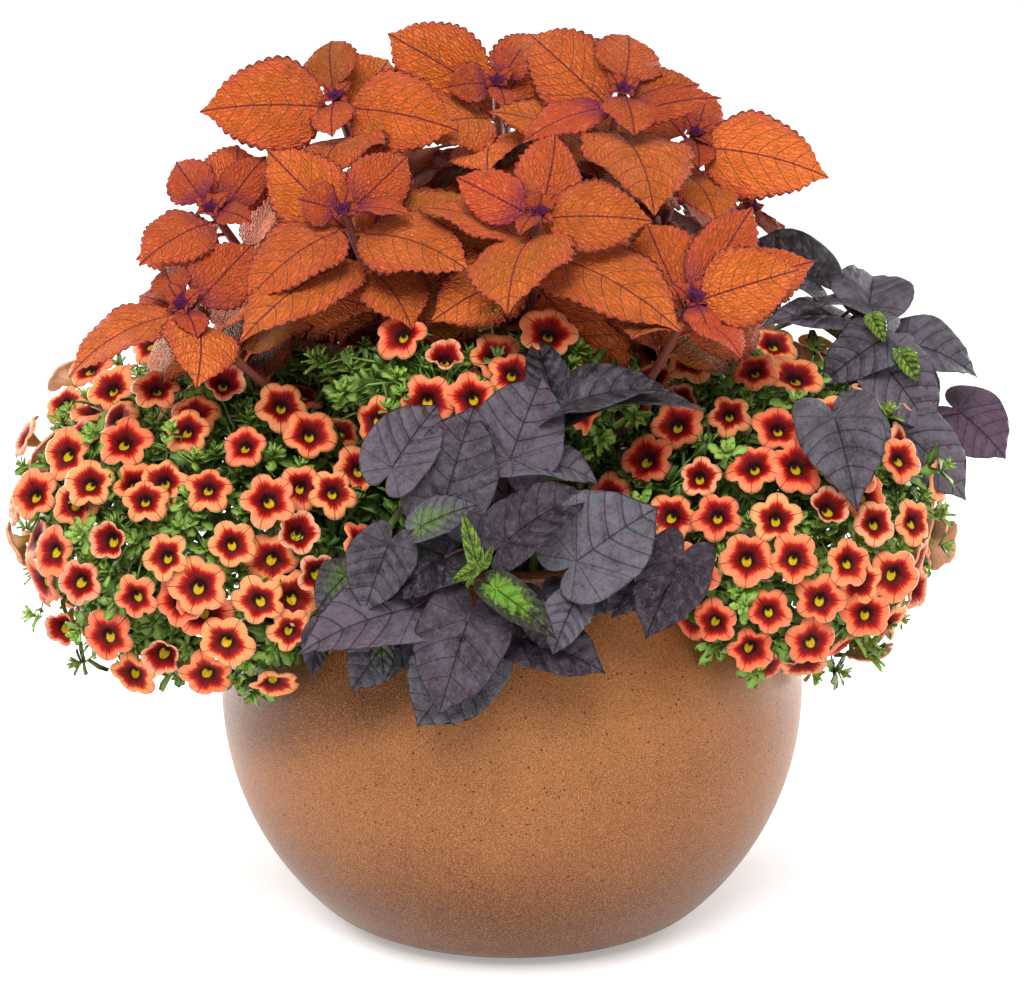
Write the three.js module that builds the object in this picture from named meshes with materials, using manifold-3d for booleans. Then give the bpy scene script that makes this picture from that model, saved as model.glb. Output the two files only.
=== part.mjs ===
// A planter: a ball-shaped pot with coleus, sweet potato vine and calibrachoa growing in it.
// Millimetres, +Z up. The origin is the middle of the pot's flat foot; the front faces -Y.
import * as THREE from 'three';
import { mergeVertices } from 'three/addons/utils/BufferGeometryUtils.js';
import Module from 'manifold-3d';

const wasm = await Module();
wasm.setup();

// ---- driving dimensions ----
const potRadius = 200;
const potCentreHeight = 160;
const potWall = 13;
const potFootRadius = 98;
const footTurnHeight = 16;
const footTurn = { radius: 121, height: 5 };
const rimHeight = 285;
const drainHoleRadius = 9;
const drainHoleDistance = 48;
const drainHoleCount = 3;
const potSides = 32;
const outerSteps = 7;
const innerSteps = 4;
const soilSides = 16;
const soilHeight = 262;
const soilRise = 6;
const rootDepth = 14;
const gap = 0.4;

const coleusStemSide = 7;
const coleusRib = 2.6;
const vineStemRadius = 3.4;
const vineStalkRadius = 1.4;
const vineRib = 3.2;
const stalkInset = 1;
const sprayStemRadius = 4.5;
const bloomRadius = 16;
const bloomTube = 15;
const bloomStalkRadius = 1.7;
const coreRadius = 30;
const coreStart = 0.5;
const coreScales = [1, 0.87, 0.75, 0.64, 0.54, 0.45, 0.36];
const leafDropScale = 300;
const coleusShape = { arch: 0.1, fold: 0.1, cup: 0.3 };
const vineShape = { arch: 0.08, fold: 0.12, cup: 0.35 };
const outwardLean = 0.35;

const colours = { pot: 0xa8724a, soil: 0x33261c, coleus: 0xc4622c, vine: 0x4b4450, calibrachoa: 0xe0703c };

// Plants are laid out as seen from the front and a little above:
// rightward, upward across that view, and nearward to whoever looks.
const viewTilt = THREE.MathUtils.degToRad(15);
const rightward = new THREE.Vector3(1, 0, 0);
const upward = new THREE.Vector3(0, Math.sin(viewTilt), Math.cos(viewTilt));
const nearward = new THREE.Vector3(0, -Math.cos(viewTilt), Math.sin(viewTilt));

// Coleus shoots. apex is the tip of the stem, foot is where it enters the soil.
// A leaf row is: right, up, near (tip from apex), width, lay (degrees it turns to face the sky), drop
// (how far down the stem it grows).
const coleusShoots = [
  { foot: [-38, 12], apex: [-116, -20, 569], leaves: [
    [-89, -7, 8, 66, 12, 6], [80, -20, 18, 62, 12, 6], [-5, 44, -26, 40, 20, 0],
    [-1, -27, 30, 32, 30, 0], [-8, -60, 58, 74, 35, 26], [34, 34, -50, 58, 20, 18]] },
  { foot: [-66, -12], apex: [-195, -70, 504], leaves: [
    [-26, 35, -18, 34, 20, 0], [27, -8, 16, 24, 30, 0], [34, 40, -26, 30, 40, 8],
    [14, 50, -48, 46, 25, 16], [-44, -36, 36, 46, 15, 10], [-52, -30, -22, 44, 20, 22]] },
  { foot: [-62, -48], apex: [-211, -120, 451], leaves: [
    [-72, -41, 22, 46, 45, 8], [-14, 28, -18, 30, 20, 0], [11, -21, 22, 24, 30, 0],
    [43, 42, -24, 44, 20, 8], [14, -50, 48, 52, 20, 20], [-32, 10, -34, 34, 40, 20]] },
  { foot: [-32, -44], apex: [-108, -110, 511], leaves: [
    [-28, 8, 8, 30, 10, 0], [42, 39, -22, 42, 15, 4], [45, -4, 14, 28, 60, 0],
    [-60, -58, 38, 54, 25, 14], [82, -36, 30, 60, 32, 20], [-48, 40, -44, 52, 20, 24],
    [-62, -84, 62, 56, 20, 44], [45, -72, 20, 56, 20, 52]] },
  { foot: [6, -52], apex: [16, -130, 513], leaves: [
    [-52, 25, -10, 36, 15, 4], [73, -5, 14, 50, 15, 4], [3, 14, 2, 22, 5, 0],
    [-12, -13, 20, 16, 30, 0], [-20, -62, 66, 72, 25, 18], [12, 56, -42, 46, 25, 12],
    [90, -76, 44, 66, 25, 34], [-78, 0, -20, 44, 65, 30]] },
  { foot: [26, -4], apex: [72, -40, 577], leaves: [
    [5, 42, -24, 50, 10, 0], [7, -31, 26, 40, 25, 0], [-66, -34, 20, 38, 40, 10],
    [-62, 44, -34, 56, 15, 14], [52, 8, -20, 38, 30, 12], [21, -78, 54, 78, 30, 24],
    [62, -4, 22, 28, 25, 20]] },
  { foot: [40, -46], apex: [114, -160, 464], leaves: [
    [66, 19, 12, 52, 10, 4], [10, -25, 20, 26, 30, 0], [-28, 52, -36, 54, 30, 16],
    [40, 62, -34, 42, 40, 10], [80, 28, -30, 48, 30, 20], [30, -30, 40, 36, 55, 24],
    [-40, -26, 34, 44, 45, 34]] },
  { foot: [-6, 22], apex: [-10, 10, 574], leaves: [
    [-34, -2, 8, 32, 20, 0], [16, 26, -14, 26, 20, 0], [6, -18, 20, 20, 35, 0],
    [-74, 38, -28, 56, 10, 8], [-58, -36, 30, 62, 25, 22], [34, 40, -44, 50, 20, 14],
    [-6, -62, 52, 64, 30, 34]] },
  { foot: [58, 18], apex: [122, 20, 538], leaves: [
    [90, -26, 10, 64, 15, 8], [-30, 30, -30, 44, 25, 6], [10, 32, -20, 30, 25, 0],
    [2, -24, 24, 26, 35, 0], [40, 6, -62, 54, 30, 16], [14, -58, 44, 58, 35, 28]] },
];

// Shoots on the sides and back, which carry crossed pairs of leaves by a rule.
const ruledShoots = [
  { foot: [-80, 24], apex: [-182, 44, 500], turn: 20 },
  { foot: [-44, 58], apex: [-98, 122, 508], turn: 65 },
  { foot: [0, 66], apex: [-4, 140, 530], turn: 10 },
  { foot: [44, 56], apex: [92, 118, 512], turn: 50 },
  { foot: [72, 44], apex: [166, 104, 470], turn: 80 },
  { foot: [22, 86], apex: [42, 212, 432], turn: 30 },
  { foot: [-34, 88], apex: [-66, 210, 426], turn: 75 },
];
// One pair a row: length, width, drop, rise of the leaf's tip over its root.
const innerLeafHeight = 512;
const innerTurn = (index) => 20 + 35 * (index % 3);
const innerPairs = [{ length: 88, width: 64, drop: 62, rise: -0.2 }];
const ruledPairs = [
  { length: 34, width: 24, drop: 0, rise: 0.35 },
  { length: 74, width: 52, drop: 8, rise: -0.05 },
  { length: 92, width: 64, drop: 30, rise: -0.35 },
];

// Vine runners: a stem from foot over crest and fall to end, and its leaves.
// A leaf row is: joint x, y, z, then right, up, near (tip from joint), width, lay, place on the stem 0..1.
const vineRunners = [
  { name: 'front_middle', foot: [-16, -122], crest: [-20, -170, 372], fall: [-22, -222, 330],
    end: [-34, -219, 262],
    leaves: [
      [-4, -228, 325, 53, 35, 6, 50, 35, 0.62], [-41, -215, 312, -38, -26, 6, 44, 30, 0.66],
      [-59, -222, 281, -76, -27, 8, 58, 40, 0.8], [-27, -236, 278, -19, -60, 6, 60, 8, 0.84],
      [-27, -214, 247, -33, -45, 4, 62, 5, 0.96], [-10, -246, 300, 38, -30, 14, 26, 20, 0.82]] },
  { name: 'front_upper', foot: [4, -106], crest: [2, -140, 380], fall: [-6, -178, 400],
    end: [-14, -186, 348],
    leaves: [
      [-1, -200, 371, 21, 55, -14, 62, 20, 0.84], [-42, -210, 346, 19, 60, -16, 60, 20, 0.95],
      [-75, -203, 366, 29, 42, -12, 46, 20, 0.9], [-4, -190, 340, 22, 13, 4, 44, 60, 0.97],
      [-26, -195, 330, -34, -3, 4, 28, 30, 0.98], [2, -195, 369, 56, 1, 6, 44, 50, 0.86]] },
  { name: 'front_right', foot: [30, -108], crest: [32, -162, 362], fall: [40, -214, 336],
    end: [48, -214, 268],
    leaves: [
      [40, -230, 313, 52, 35, -6, 68, 15, 0.72], [5, -224, 262, 54, -22, 6, 46, 30, 0.92],
      [39, -232, 288, -14, -34, 4, 30, 30, 0.85], [105, -220, 311, -22, -48, 6, 48, 15, 0.74],
      [20, -212, 286, 14, -44, 4, 44, 15, 0.9]] },
  { name: 'front_back', foot: [46, -84], crest: [44, -112, 410], fall: [38, -150, 430],
    end: [34, -166, 396],
    leaves: [
      [36, -188, 404, 64, 9, 10, 46, 55, 0.95], [44, -176, 394, 76, 6, 10, 40, 65, 0.98],
      [26, -174, 405, -12, 40, -10, 30, 20, 0.93]] },
  { name: 'front_left', foot: [-46, -106], crest: [-60, -156, 366], fall: [-84, -198, 350],
    end: [-84, -202, 272],
    leaves: [
      [-77, -208, 318, -16, -44, 4, 44, 30, 0.82], [-122, -208, 262, -4, -30, 4, 20, 10, 0.92],
      [-74, -210, 262, -28, -38, 4, 42, 8, 0.97], [-84, -216, 268, 4, -36, 4, 18, 30, 0.95],
      [-104, -200, 296, -20, -22, 6, 30, 25, 0.86]] },
  { name: 'right_upper', foot: [104, 14], crest: [150, 20, 420], fall: [196, 20, 440],
    end: [226, 2, 400],
    leaves: [
      [204, 10, 442, -46, 26, -8, 46, 35, 0.82], [240, 0, 425, 8, 30, -38, 56, 10, 0.93],
      [232, -10, 428, -46, -3, 8, 42, 75, 0.9], [224, 0, 418, -58, -5, 10, 46, 65, 0.92],
      [235, -8, 404, 4, 22, 4, 10, 10, 0.98], [250, -25, 410, -46, -32, 10, 44, 25, 0.98]] },
  { name: 'right_lower', foot: [112, -16], crest: [168, -26, 400], fall: [232, -22, 410],
    end: [268, -22, 346],
    leaves: [
      [263, -5, 402, 52, -20, 4, 44, 40, 0.86], [245, -30, 396, 38, -48, 12, 52, 20, 0.8],
      [216, -66, 362, 15, -52, 10, 58, 8, 0.78], [253, -42, 356, 54, -47, 14, 54, 20, 0.94],
      [303, 5, 352, 33, -32, 4, 52, 25, 0.97], [268, 12, 384, 20, -32, -4, 30, 30, 0.9]] },
];

// Vine runners at the back, with leaves at turns left and right by a rule.
const ruledRunners = [
  { name: 'back_right', foot: [38, 116], crest: [52, 178, 372], fall: [66, 248, 346],
    end: [74, 256, 236], count: 6 },
  { name: 'back_left', foot: [-64, 106], crest: [-96, 160, 376], fall: [-134, 226, 350],
    end: [-150, 238, 246], count: 6 },
];

// Calibrachoa sprays: the stem goes from foot over crest to end, inside its mound.
const sprays = [
  { name: 'left_1', mound: 'left', foot: [-66, -100], crest: [-96, -140, 352], end: [-122, -152, 290] },
  { name: 'left_2', mound: 'left', foot: [-90, -92], crest: [-140, -140, 352], end: [-160, -142, 226] },
  { name: 'left_3', mound: 'left', foot: [-92, -62], crest: [-176, -110, 372], end: [-226, -126, 312] },
  { name: 'left_4', mound: 'left', foot: [-114, -62], crest: [-196, -92, 350], end: [-238, -112, 224] },
  { name: 'left_5', mound: 'left', foot: [-112, -30], crest: [-220, -40, 376], end: [-294, -52, 300] },
  { name: 'left_6', mound: 'left', foot: [-130, 2], crest: [-210, 4, 346], end: [-256, 6, 222] },
  { name: 'left_7', mound: 'left', foot: [-112, 44], crest: [-190, 74, 366], end: [-248, 78, 304] },
  { name: 'left_8', mound: 'left', foot: [-92, 82], crest: [-130, 120, 356], end: [-170, 132, 270] },
  { name: 'right_1', mound: 'right', foot: [72, -96], crest: [92, -140, 362], end: [112, -158, 310] },
  { name: 'right_2', mound: 'right', foot: [92, -84], crest: [136, -136, 352], end: [146, -148, 242] },
  { name: 'right_3', mound: 'right', foot: [92, -56], crest: [154, -96, 372], end: [184, -124, 330] },
  { name: 'right_4', mound: 'right', foot: [116, -50], crest: [190, -80, 350], end: [208, -106, 240] },
  { name: 'right_5', mound: 'right', foot: [130, 4], crest: [210, 10, 340], end: [258, 0, 276] },
  { name: 'right_6', mound: 'right', foot: [112, 46], crest: [176, 76, 362], end: [230, 84, 290] },
  { name: 'right_7', mound: 'right', foot: [82, 88], crest: [118, 126, 352], end: [152, 132, 276] },
  { name: 'front_1', mound: 'front', foot: [-40, -128], crest: [-52, -132, 372], end: [-46, -148, 400] },
  { name: 'front_2', mound: 'front', foot: [14, -132], crest: [16, -134, 372], end: [8, -146, 402] },
];

// Mounds: the rounded shape that a group of blooms covers, and where blooms sit on it as seen
// from the front and from behind (right and up across the view).
const mounds = {
  left: { centre: [-176, -20, 285], radii: [166, 186, 118],
    frontCount: 58, backCount: 13, frontTufts: 8, backTufts: 1,
    front: [[-300, 372], [-338, 316], [-306, 244], [-276, 190], [-250, 166], [-196, 166], [-136, 186],
      [-116, 240], [-104, 284], [-106, 322], [-60, 346], [-62, 386], [-130, 392], [-234, 380]] },
  right: { centre: [164, -20, 290], radii: [136, 184, 116],
    frontCount: 42, backCount: 10, frontTufts: 6, backTufts: 1,
    front: [[34, 386], [86, 398], [172, 394], [196, 360], [212, 322], [256, 322], [262, 256], [240, 214],
      [212, 188], [124, 190], [102, 222], [100, 256], [58, 286], [84, 336]] },
  front: { centre: [-20, -110, 392], radii: [110, 74, 46],
    frontCount: 7, backCount: 0, frontTufts: 2, backTufts: 0,
    front: [[-70, 402], [-70, 372], [-30, 356], [24, 366], [56, 380], [56, 392], [-10, 410]] },
};
const backBand = [[-330, 340], [-330, 210], [-240, 180], [240, 180], [330, 210], [330, 340], [240, 380],
  [-240, 380]];
const bloomSpacing = 26;
const backSpacing = 40;
const tuftSpacing = 42;
const missAllowed = 0.3;

// ---- solids ----

function vector([x, y, z]) {
  return new THREE.Vector3(x, y, z);
}

function seenPoint(right, up, near) {
  const point = new THREE.Vector3();
  point.addScaledVector(rightward, right);
  point.addScaledVector(upward, up);
  point.addScaledVector(nearward, near);
  return point;
}

function solidOf(geometry) {
  geometry.deleteAttribute('normal');
  geometry.deleteAttribute('uv');
  const merged = mergeVertices(geometry, 1e-4);
  const vertProperties = Float32Array.from(merged.attributes.position.array);
  const triVerts = Uint32Array.from(merged.index.array);
  return new wasm.Manifold(new wasm.Mesh({ numProp: 3, vertProperties, triVerts }));
}

function geometryOf(solid) {
  const mesh = solid.getMesh();
  const geometry = new THREE.BufferGeometry();
  geometry.setAttribute('position', new THREE.BufferAttribute(mesh.vertProperties, 3));
  geometry.setIndex(new THREE.BufferAttribute(mesh.triVerts, 1));
  geometry.computeVertexNormals();
  return geometry;
}

function facesGeometry(points, faces) {
  const geometry = new THREE.BufferGeometry();
  const numbers = points.flatMap((p) => [p.x, p.y, p.z]);
  geometry.setAttribute('position', new THREE.Float32BufferAttribute(numbers, 3));
  geometry.setIndex(faces.flat());
  return geometry;
}

// A number from 0 to 1 that looks random but is always the same for the same pair of whole numbers.
function chance(index, channel) {
  const wave = Math.sin(index * 12.9898 + channel * 78.233) * 43758.5453;
  return wave - Math.floor(wave);
}

// A profile of [radius, height] points turned about the vertical axis.
function turnedSolid(profile, sides) {
  const geometry = new THREE.LatheGeometry(profile, sides);
  geometry.rotateX(Math.PI / 2);
  return solidOf(geometry);
}

// A tube with flat sides along a curve.
function tubeSolid(curve, radius, sides, steps) {
  const section = new THREE.Shape();
  for (let i = 0; i < sides; i += 1) {
    const angle = (2 * Math.PI * (i + 0.5)) / sides;
    const point = [radius * Math.cos(angle), radius * Math.sin(angle)];
    if (i === 0) section.moveTo(...point);
    else section.lineTo(...point);
  }
  section.closePath();
  return solidOf(new THREE.ExtrudeGeometry(section, { extrudePath: curve, steps, bevelEnabled: false }));
}

// Where a leaf lies: from root to tip along a low arch, facing as told, with its sides folded and cupped.
// bend tips the whole leaf up or down about its root.
function leafPlace(leaf, bend) {
  const along = leaf.tip.clone().sub(leaf.root);
  const length = along.length();
  along.normalize();
  const side = along.clone().cross(leaf.facing).normalize();
  const normal = side.clone().cross(along);
  const turnedAlong = along.clone().multiplyScalar(Math.cos(bend)).addScaledVector(normal, Math.sin(bend));
  const turnedNormal = normal.multiplyScalar(Math.cos(bend)).addScaledVector(along, -Math.sin(bend));
  return (t, w) => {
    const arched = leaf.arch * length * 4 * t * (1 - t);
    const lift = arched + leaf.fold * Math.abs(w) - (leaf.cup * w * w) / leaf.width;
    return leaf.root.clone().addScaledVector(turnedAlong, t * length).addScaledVector(side, w)
      .addScaledVector(turnedNormal, lift);
  };
}

function leafNormal(place, t) {
  const ahead = place(t + 0.01, 0).sub(place(t - 0.01, 0));
  const across = place(t, 0.5).sub(place(t, -0.5));
  return across.cross(ahead).normalize();
}

// A blade like a flat lens. edge lists [t, w] down one side, rib lists t along the midrib.
// Both faces have the same triangles; they meet at the edge, or stand grow apart there.
function bladeSolid(place, edge, rib, thickness, grow) {
  const points = [];
  const faces = [];
  const start = rib[0];
  const end = rib[rib.length - 1];
  const middle = rib.slice(1, -1);
  const ring = [[start, 0], ...edge, [end, 0], ...edge.map(([t, w]) => [t, -w]).reverse()];
  const edgeCount = ring.length;
  for (const lift of grow > 0 ? [grow, -grow] : [0]) {
    for (const [t, w] of ring) {
      const outward = w === 0 ? 0 : Math.sign(w) * grow;
      points.push(place(t, w + outward).addScaledVector(leafNormal(place, t), lift));
    }
  }
  const ribStart = points.length;
  for (const lift of [thickness / 2 + grow, -thickness / 2 - grow]) {
    for (const t of middle) points.push(place(t, 0).addScaledVector(leafNormal(place, t), lift));
  }
  const tipIndex = edge.length + 1;
  const edgeTs = [...ring.slice(0, tipIndex + 1).map(([t]) => t), Infinity];
  const ribTs = [...rib, Infinity];
  for (const upper of [true, false]) {
    const ringShift = upper || grow === 0 ? 0 : edgeCount;
    const ribShift = ribStart + (upper ? 0 : middle.length);
    for (const mirrored of [false, true]) {
      const edgeAt = (i) => ringShift + (mirrored ? (edgeCount - i) % edgeCount : i);
      const ribAt = (j) => {
        if (j === 0) return ringShift;
        return j > middle.length ? ringShift + tipIndex : ribShift + j - 1;
      };
      let i = 0;
      let j = 0;
      while (i < tipIndex || j <= middle.length) {
        const alongEdge = i < tipIndex && (edgeTs[i + 1] <= ribTs[j + 1] || j > middle.length);
        const face = alongEdge ? [edgeAt(i), edgeAt(i + 1), ribAt(j)] : [edgeAt(i), ribAt(j + 1), ribAt(j)];
        if (alongEdge) i += 1;
        else j += 1;
        if (upper === mirrored) face.reverse();
        if (new Set(face).size === 3) faces.push(face);
      }
    }
  }
  if (grow > 0) {
    for (let i = 0; i < edgeCount; i += 1) {
      const next = (i + 1) % edgeCount;
      faces.push([edgeCount + i, edgeCount + next, next], [edgeCount + i, next, i]);
    }
  }
  return solidOf(facesGeometry(points, faces));
}

// Half the width of a coleus leaf at x from 0 (base) to 1 (tip), for a leaf one wide.
function coleusHalfWidth(x) {
  return 1.36 * x ** 0.55 * (1 - x) ** 0.98;
}

function coleusEdge(leaf) {
  const length = leaf.tip.distanceTo(leaf.root);
  const rootDepthOnStem = -2 / length;
  const stalkEnd = Math.min(0.2, 9 / length);
  const teeth = Math.min(leaf.hidden ? 3 : 4, Math.floor(leaf.width / 14)) || 2;
  const edge = [[stalkEnd, 1.7]];
  for (let i = 1; i < 2 * teeth; i += 1) {
    const x = (i / (2 * teeth)) ** 1.15;
    const notch = i % 2 === 0 ? 0.9 : 1.03;
    edge.push([stalkEnd + (1 - stalkEnd) * x, leaf.width * coleusHalfWidth(x) * notch]);
  }
  const rib = leaf.width > 30 && !leaf.hidden ? [rootDepthOnStem, stalkEnd, 0.4, 0.72, 1]
    : [rootDepthOnStem, stalkEnd, 0.5, 1];
  return { edge, rib };
}

// A heart-shaped edge around the stalk joint: reach from the joint for each turn from the tip.
function heartReach(turn) {
  const side = Math.exp(-((turn / 0.55) ** 2));
  return 0.46 + 0.54 * side + 0.06 * Math.cos(2 * turn + 2.2) * (1 - side);
}

const heartTurns = [2.62, 2.0, 1.35, 0.8, 0.35];

function vineEdge(leaf) {
  const length = leaf.tip.distanceTo(leaf.root);
  const spread = leaf.width / (1.02 * length);
  const edge = heartTurns.map((turn) => {
    const reach = heartReach(turn);
    return [reach * Math.cos(turn), reach * Math.sin(turn) * spread * length];
  });
  return { edge, rib: [-0.1, 0.14, 0.55, 1] };
}

// A trumpet with a stalk: a lobed ring, a sunken throat, a narrow neck and a root.
function starSolid(star, grow) {
  const { centre, axis, root, points: pointCount } = star;
  const helper = Math.abs(axis.z) < 0.9 ? new THREE.Vector3(0, 0, 1) : new THREE.Vector3(1, 0, 0);
  const across = axis.clone().cross(helper).normalize();
  const over = axis.clone().cross(across);
  const ringPoint = (angle, radius, forward, middle) => middle.clone()
    .addScaledVector(across, Math.cos(angle) * radius)
    .addScaledVector(over, Math.sin(angle) * radius)
    .addScaledVector(axis, forward);
  const points = [];
  for (let i = 0; i < 2 * pointCount; i += 1) {
    const angle = (Math.PI * i) / pointCount + star.spin;
    const isLobe = i % 2 === 0;
    const radius = (isLobe ? star.lobe : star.notch) + grow;
    points.push(ringPoint(angle, radius, isLobe ? star.lobeLift : 0, centre));
  }
  const rim = 2 * pointCount;
  points.push(centre.clone().addScaledVector(axis, -star.throat + grow));
  for (let i = 0; i < 3; i += 1) {
    points.push(ringPoint((2 * Math.PI * i) / 3 + star.spin, star.stalk + grow, -star.neck - grow, centre));
  }
  const stalkWay = centre.clone().addScaledVector(axis, -star.neck).sub(root).normalize();
  const bow = new THREE.Quaternion().setFromUnitVectors(axis, stalkWay);
  for (let i = 0; i < 3; i += 1) {
    const angle = (2 * Math.PI * i) / 3 + star.spin;
    const offset = across.clone().multiplyScalar(Math.cos(angle)).addScaledVector(over, Math.sin(angle));
    points.push(root.clone().addScaledVector(offset.applyQuaternion(bow), star.stalk + grow));
  }
  const faces = [];
  for (let i = 0; i < rim; i += 1) {
    faces.push([i, (i + 1) % rim, rim]);
  }
  let neck = 0;
  for (let i = 0; i < rim; i += 1) {
    faces.push([rim + 1 + (neck % 3), (i + 1) % rim, i]);
    if ((i + 1) * 3 >= (neck + 1) * rim) {
      faces.push([rim + 1 + (neck % 3), rim + 1 + ((neck + 1) % 3), (i + 1) % rim]);
      neck += 1;
    }
  }
  for (let i = 0; i < 3; i += 1) {
    const next = (i + 1) % 3;
    const above = rim + 1;
    const below = rim + 4;
    faces.push([below + i, below + next, above + next], [below + i, above + next, above + i]);
  }
  faces.push([rim + 4, rim + 6, rim + 5]);
  return solidOf(facesGeometry(points, faces));
}

// ---- keeping neighbours apart ----

const placed = [];

function boxesMeet(a, b) {
  return [0, 1, 2].every((k) => a.min[k] <= b.max[k] && b.min[k] <= a.max[k]);
}

function claim(owner, solid, space, isStem = false) {
  placed.push({ owner, solid, space, isStem, box: space.boundingBox() });
}

// How much of a solid lies in the claimed space of other plants (and, less strictly, of its own).
function crossing(owner, solid, sharedRoot) {
  const box = solid.boundingBox();
  let volume = 0;
  for (const other of placed) {
    if (boxesMeet(box, other.box)) {
      const shared = solid.intersect(other.owner === owner ? other.solid : other.space).volume();
      if (other.owner !== owner) volume += shared;
      else if (!other.isStem) volume += Math.max(0, shared - sharedRoot) * 0.3;
    }
  }
  return volume;
}

function crossesOthers(owner, solid) {
  const box = solid.boundingBox();
  return placed.filter((other) => other.owner !== owner && boxesMeet(box, other.box)
    && solid.intersect(other.space).volume() > 0);
}

function largestPiece(solid) {
  const pieces = solid.decompose();
  return pieces.reduce((best, piece) => (piece.volume() > best.volume() ? piece : best));
}

// What is left of a solid outside the space of other plants.
function cutClear(owner, solid) {
  const blockers = crossesOthers(owner, solid);
  if (blockers.length === 0) return solid;
  return largestPiece(blockers.reduce((rest, other) => rest.subtract(other.space), solid));
}

// ---- stems ----

function coleusAxis([x, y, z]) {
  return new THREE.Vector3(x * 0.0022, y * 0.0022 - 0.18, 0.9).normalize();
}

function coleusCurve(shoot) {
  const bottom = new THREE.Vector3(shoot.foot[0], shoot.foot[1], soilHeight - rootDepth);
  const apex = vector(shoot.apex);
  const rise = apex.z - bottom.z;
  const low = bottom.clone().add(new THREE.Vector3(0, 0, rise * 0.4));
  const high = apex.clone().addScaledVector(coleusAxis(shoot.apex), -rise * 0.35);
  return new THREE.CubicBezierCurve3(bottom, low, high, apex);
}

function runnerCurve(runner) {
  const bottom = new THREE.Vector3(runner.foot[0], runner.foot[1], soilHeight - rootDepth);
  return new THREE.CubicBezierCurve3(bottom, vector(runner.crest), vector(runner.fall), vector(runner.end));
}

function sprayCurve(spray) {
  const bottom = new THREE.Vector3(spray.foot[0], spray.foot[1], soilHeight - rootDepth);
  const low = new THREE.Vector3(spray.foot[0], spray.foot[1], spray.crest[2]);
  return new THREE.CubicBezierCurve3(bottom, low, vector(spray.crest), vector(spray.end));
}

// A stem is straight between its stations, so what grows from it starts at the nearest point of that line.
function nearestOnLine(stations, target) {
  let best = null;
  for (let i = 1; i < stations.length; i += 1) {
    const piece = new THREE.Line3(stations[i - 1], stations[i]);
    const point = piece.closestPointToPoint(target, true, new THREE.Vector3());
    const distance = point.distanceTo(target);
    if (best === null || distance < best.distance) best = { distance, point };
  }
  return best;
}

// ---- leaves ----

function lookFacing(lay, outward) {
  const angle = THREE.MathUtils.degToRad(lay);
  return nearward.clone().multiplyScalar(Math.cos(angle)).addScaledVector(upward, Math.sin(angle))
    .addScaledVector(outward, outwardLean).normalize();
}

function shownColeusLeaf(shoot, stem, row) {
  const [right, up, near, width, lay, drop] = row;
  const apex = vector(shoot.apex);
  const root = nearestOnLine(stem.stations, stem.curve.getPoint(1 - drop / leafDropScale)).point;
  const tip = apex.clone().add(seenPoint(right, up, near));
  const outward = new THREE.Vector3(right, 0, 0).normalize();
  return { root, tip, width, facing: lookFacing(lay, outward), arch: 0.1, fold: 0.1, cup: 0.3 };
}

function ruledColeusLeaves(shoot, stem, index, pairs, turn) {
  const axis = coleusAxis(shoot.apex);
  const outward = new THREE.Vector3(shoot.apex[0], shoot.apex[1], 0).normalize();
  const lean = axis.clone().addScaledVector(outward, 0.75).normalize();
  const across = lean.clone().cross(new THREE.Vector3(0, 0, 1)).normalize();
  const over = across.clone().cross(lean);
  const leaves = [];
  pairs.forEach((pair, pairIndex) => {
    for (const half of [0, 1]) {
      const angle = THREE.MathUtils.degToRad(turn) + (pairIndex + 2 * half) * (Math.PI / 2)
        + 0.3 * (chance(index, pairIndex * 2 + half) - 0.5);
      const size = 0.9 + 0.2 * chance(index, 10 + pairIndex * 2 + half);
      const direction = across.clone().multiplyScalar(Math.cos(angle)).addScaledVector(over, Math.sin(angle));
      direction.addScaledVector(lean, pair.rise).normalize();
      const root = nearestOnLine(stem.stations, stem.curve.getPoint(1 - pair.drop / leafDropScale)).point;
      const tip = root.clone().addScaledVector(direction, pair.length * size);
      leaves.push({ root, tip, width: pair.width * size, facing: lean, hidden: true, ...coleusShape });
    }
  });
  return leaves;
}

// Small changes tried in turn to keep a leaf clear: a bend about its root, and for a leaf on a stalk
// a shift towards or away from the front.
const coleusMoves = [0, 5, -5, 10, -10, 16, -16, 23, -23, 31].map((bend) => ({ bend, shift: 0 }));
const vineMoves = [0, 5, -5, 10, -10, 15, -15, 20].flatMap((shift) => [0, 8, -8, 15, -15, 23, -23]
  .map((bend) => ({ bend, shift })));

function movedLeaf(leaf, shift) {
  const change = nearward.clone().multiplyScalar(shift);
  return { ...leaf, root: leaf.root.clone().add(change), tip: leaf.tip.clone().add(change) };
}

// Tries a leaf at each move and keeps the first that is clear of everything, or the clearest one.
function settleLeaf(owner, leaf, edges, thickness, moves, stalkSolid) {
  let best = null;
  for (const move of moves) {
    const moved = movedLeaf(leaf, move.shift);
    const place = leafPlace(moved, THREE.MathUtils.degToRad(move.bend));
    const solid = bladeSolid(place, edges.edge, edges.rib, thickness, 0);
    const volume = crossing(owner, solid, stalkSolid ? 3 : 30)
      + (stalkSolid ? crossing(owner, stalkSolid(moved, 0), 30) : 0);
    if (best === null || volume < best.volume - 1) best = { volume, moved, place, solid };
    if (volume === 0) break;
  }
  const solid = cutClear(owner, best.solid);
  claim(owner, solid, bladeSolid(best.place, edges.edge, edges.rib, thickness, gap));
  return { solid, moved: best.moved };
}

// ---- the plants ----

const stems = new Map();

function raiseStem(owner, curve, radius, sides, steps) {
  const solid = tubeSolid(curve, radius, sides, steps);
  const space = tubeSolid(curve, radius + gap * 1.3, sides, steps);
  claim(owner, solid, space, true);
  stems.set(owner, { curve, solid, radius, stations: curve.getSpacedPoints(steps) });
}

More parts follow.
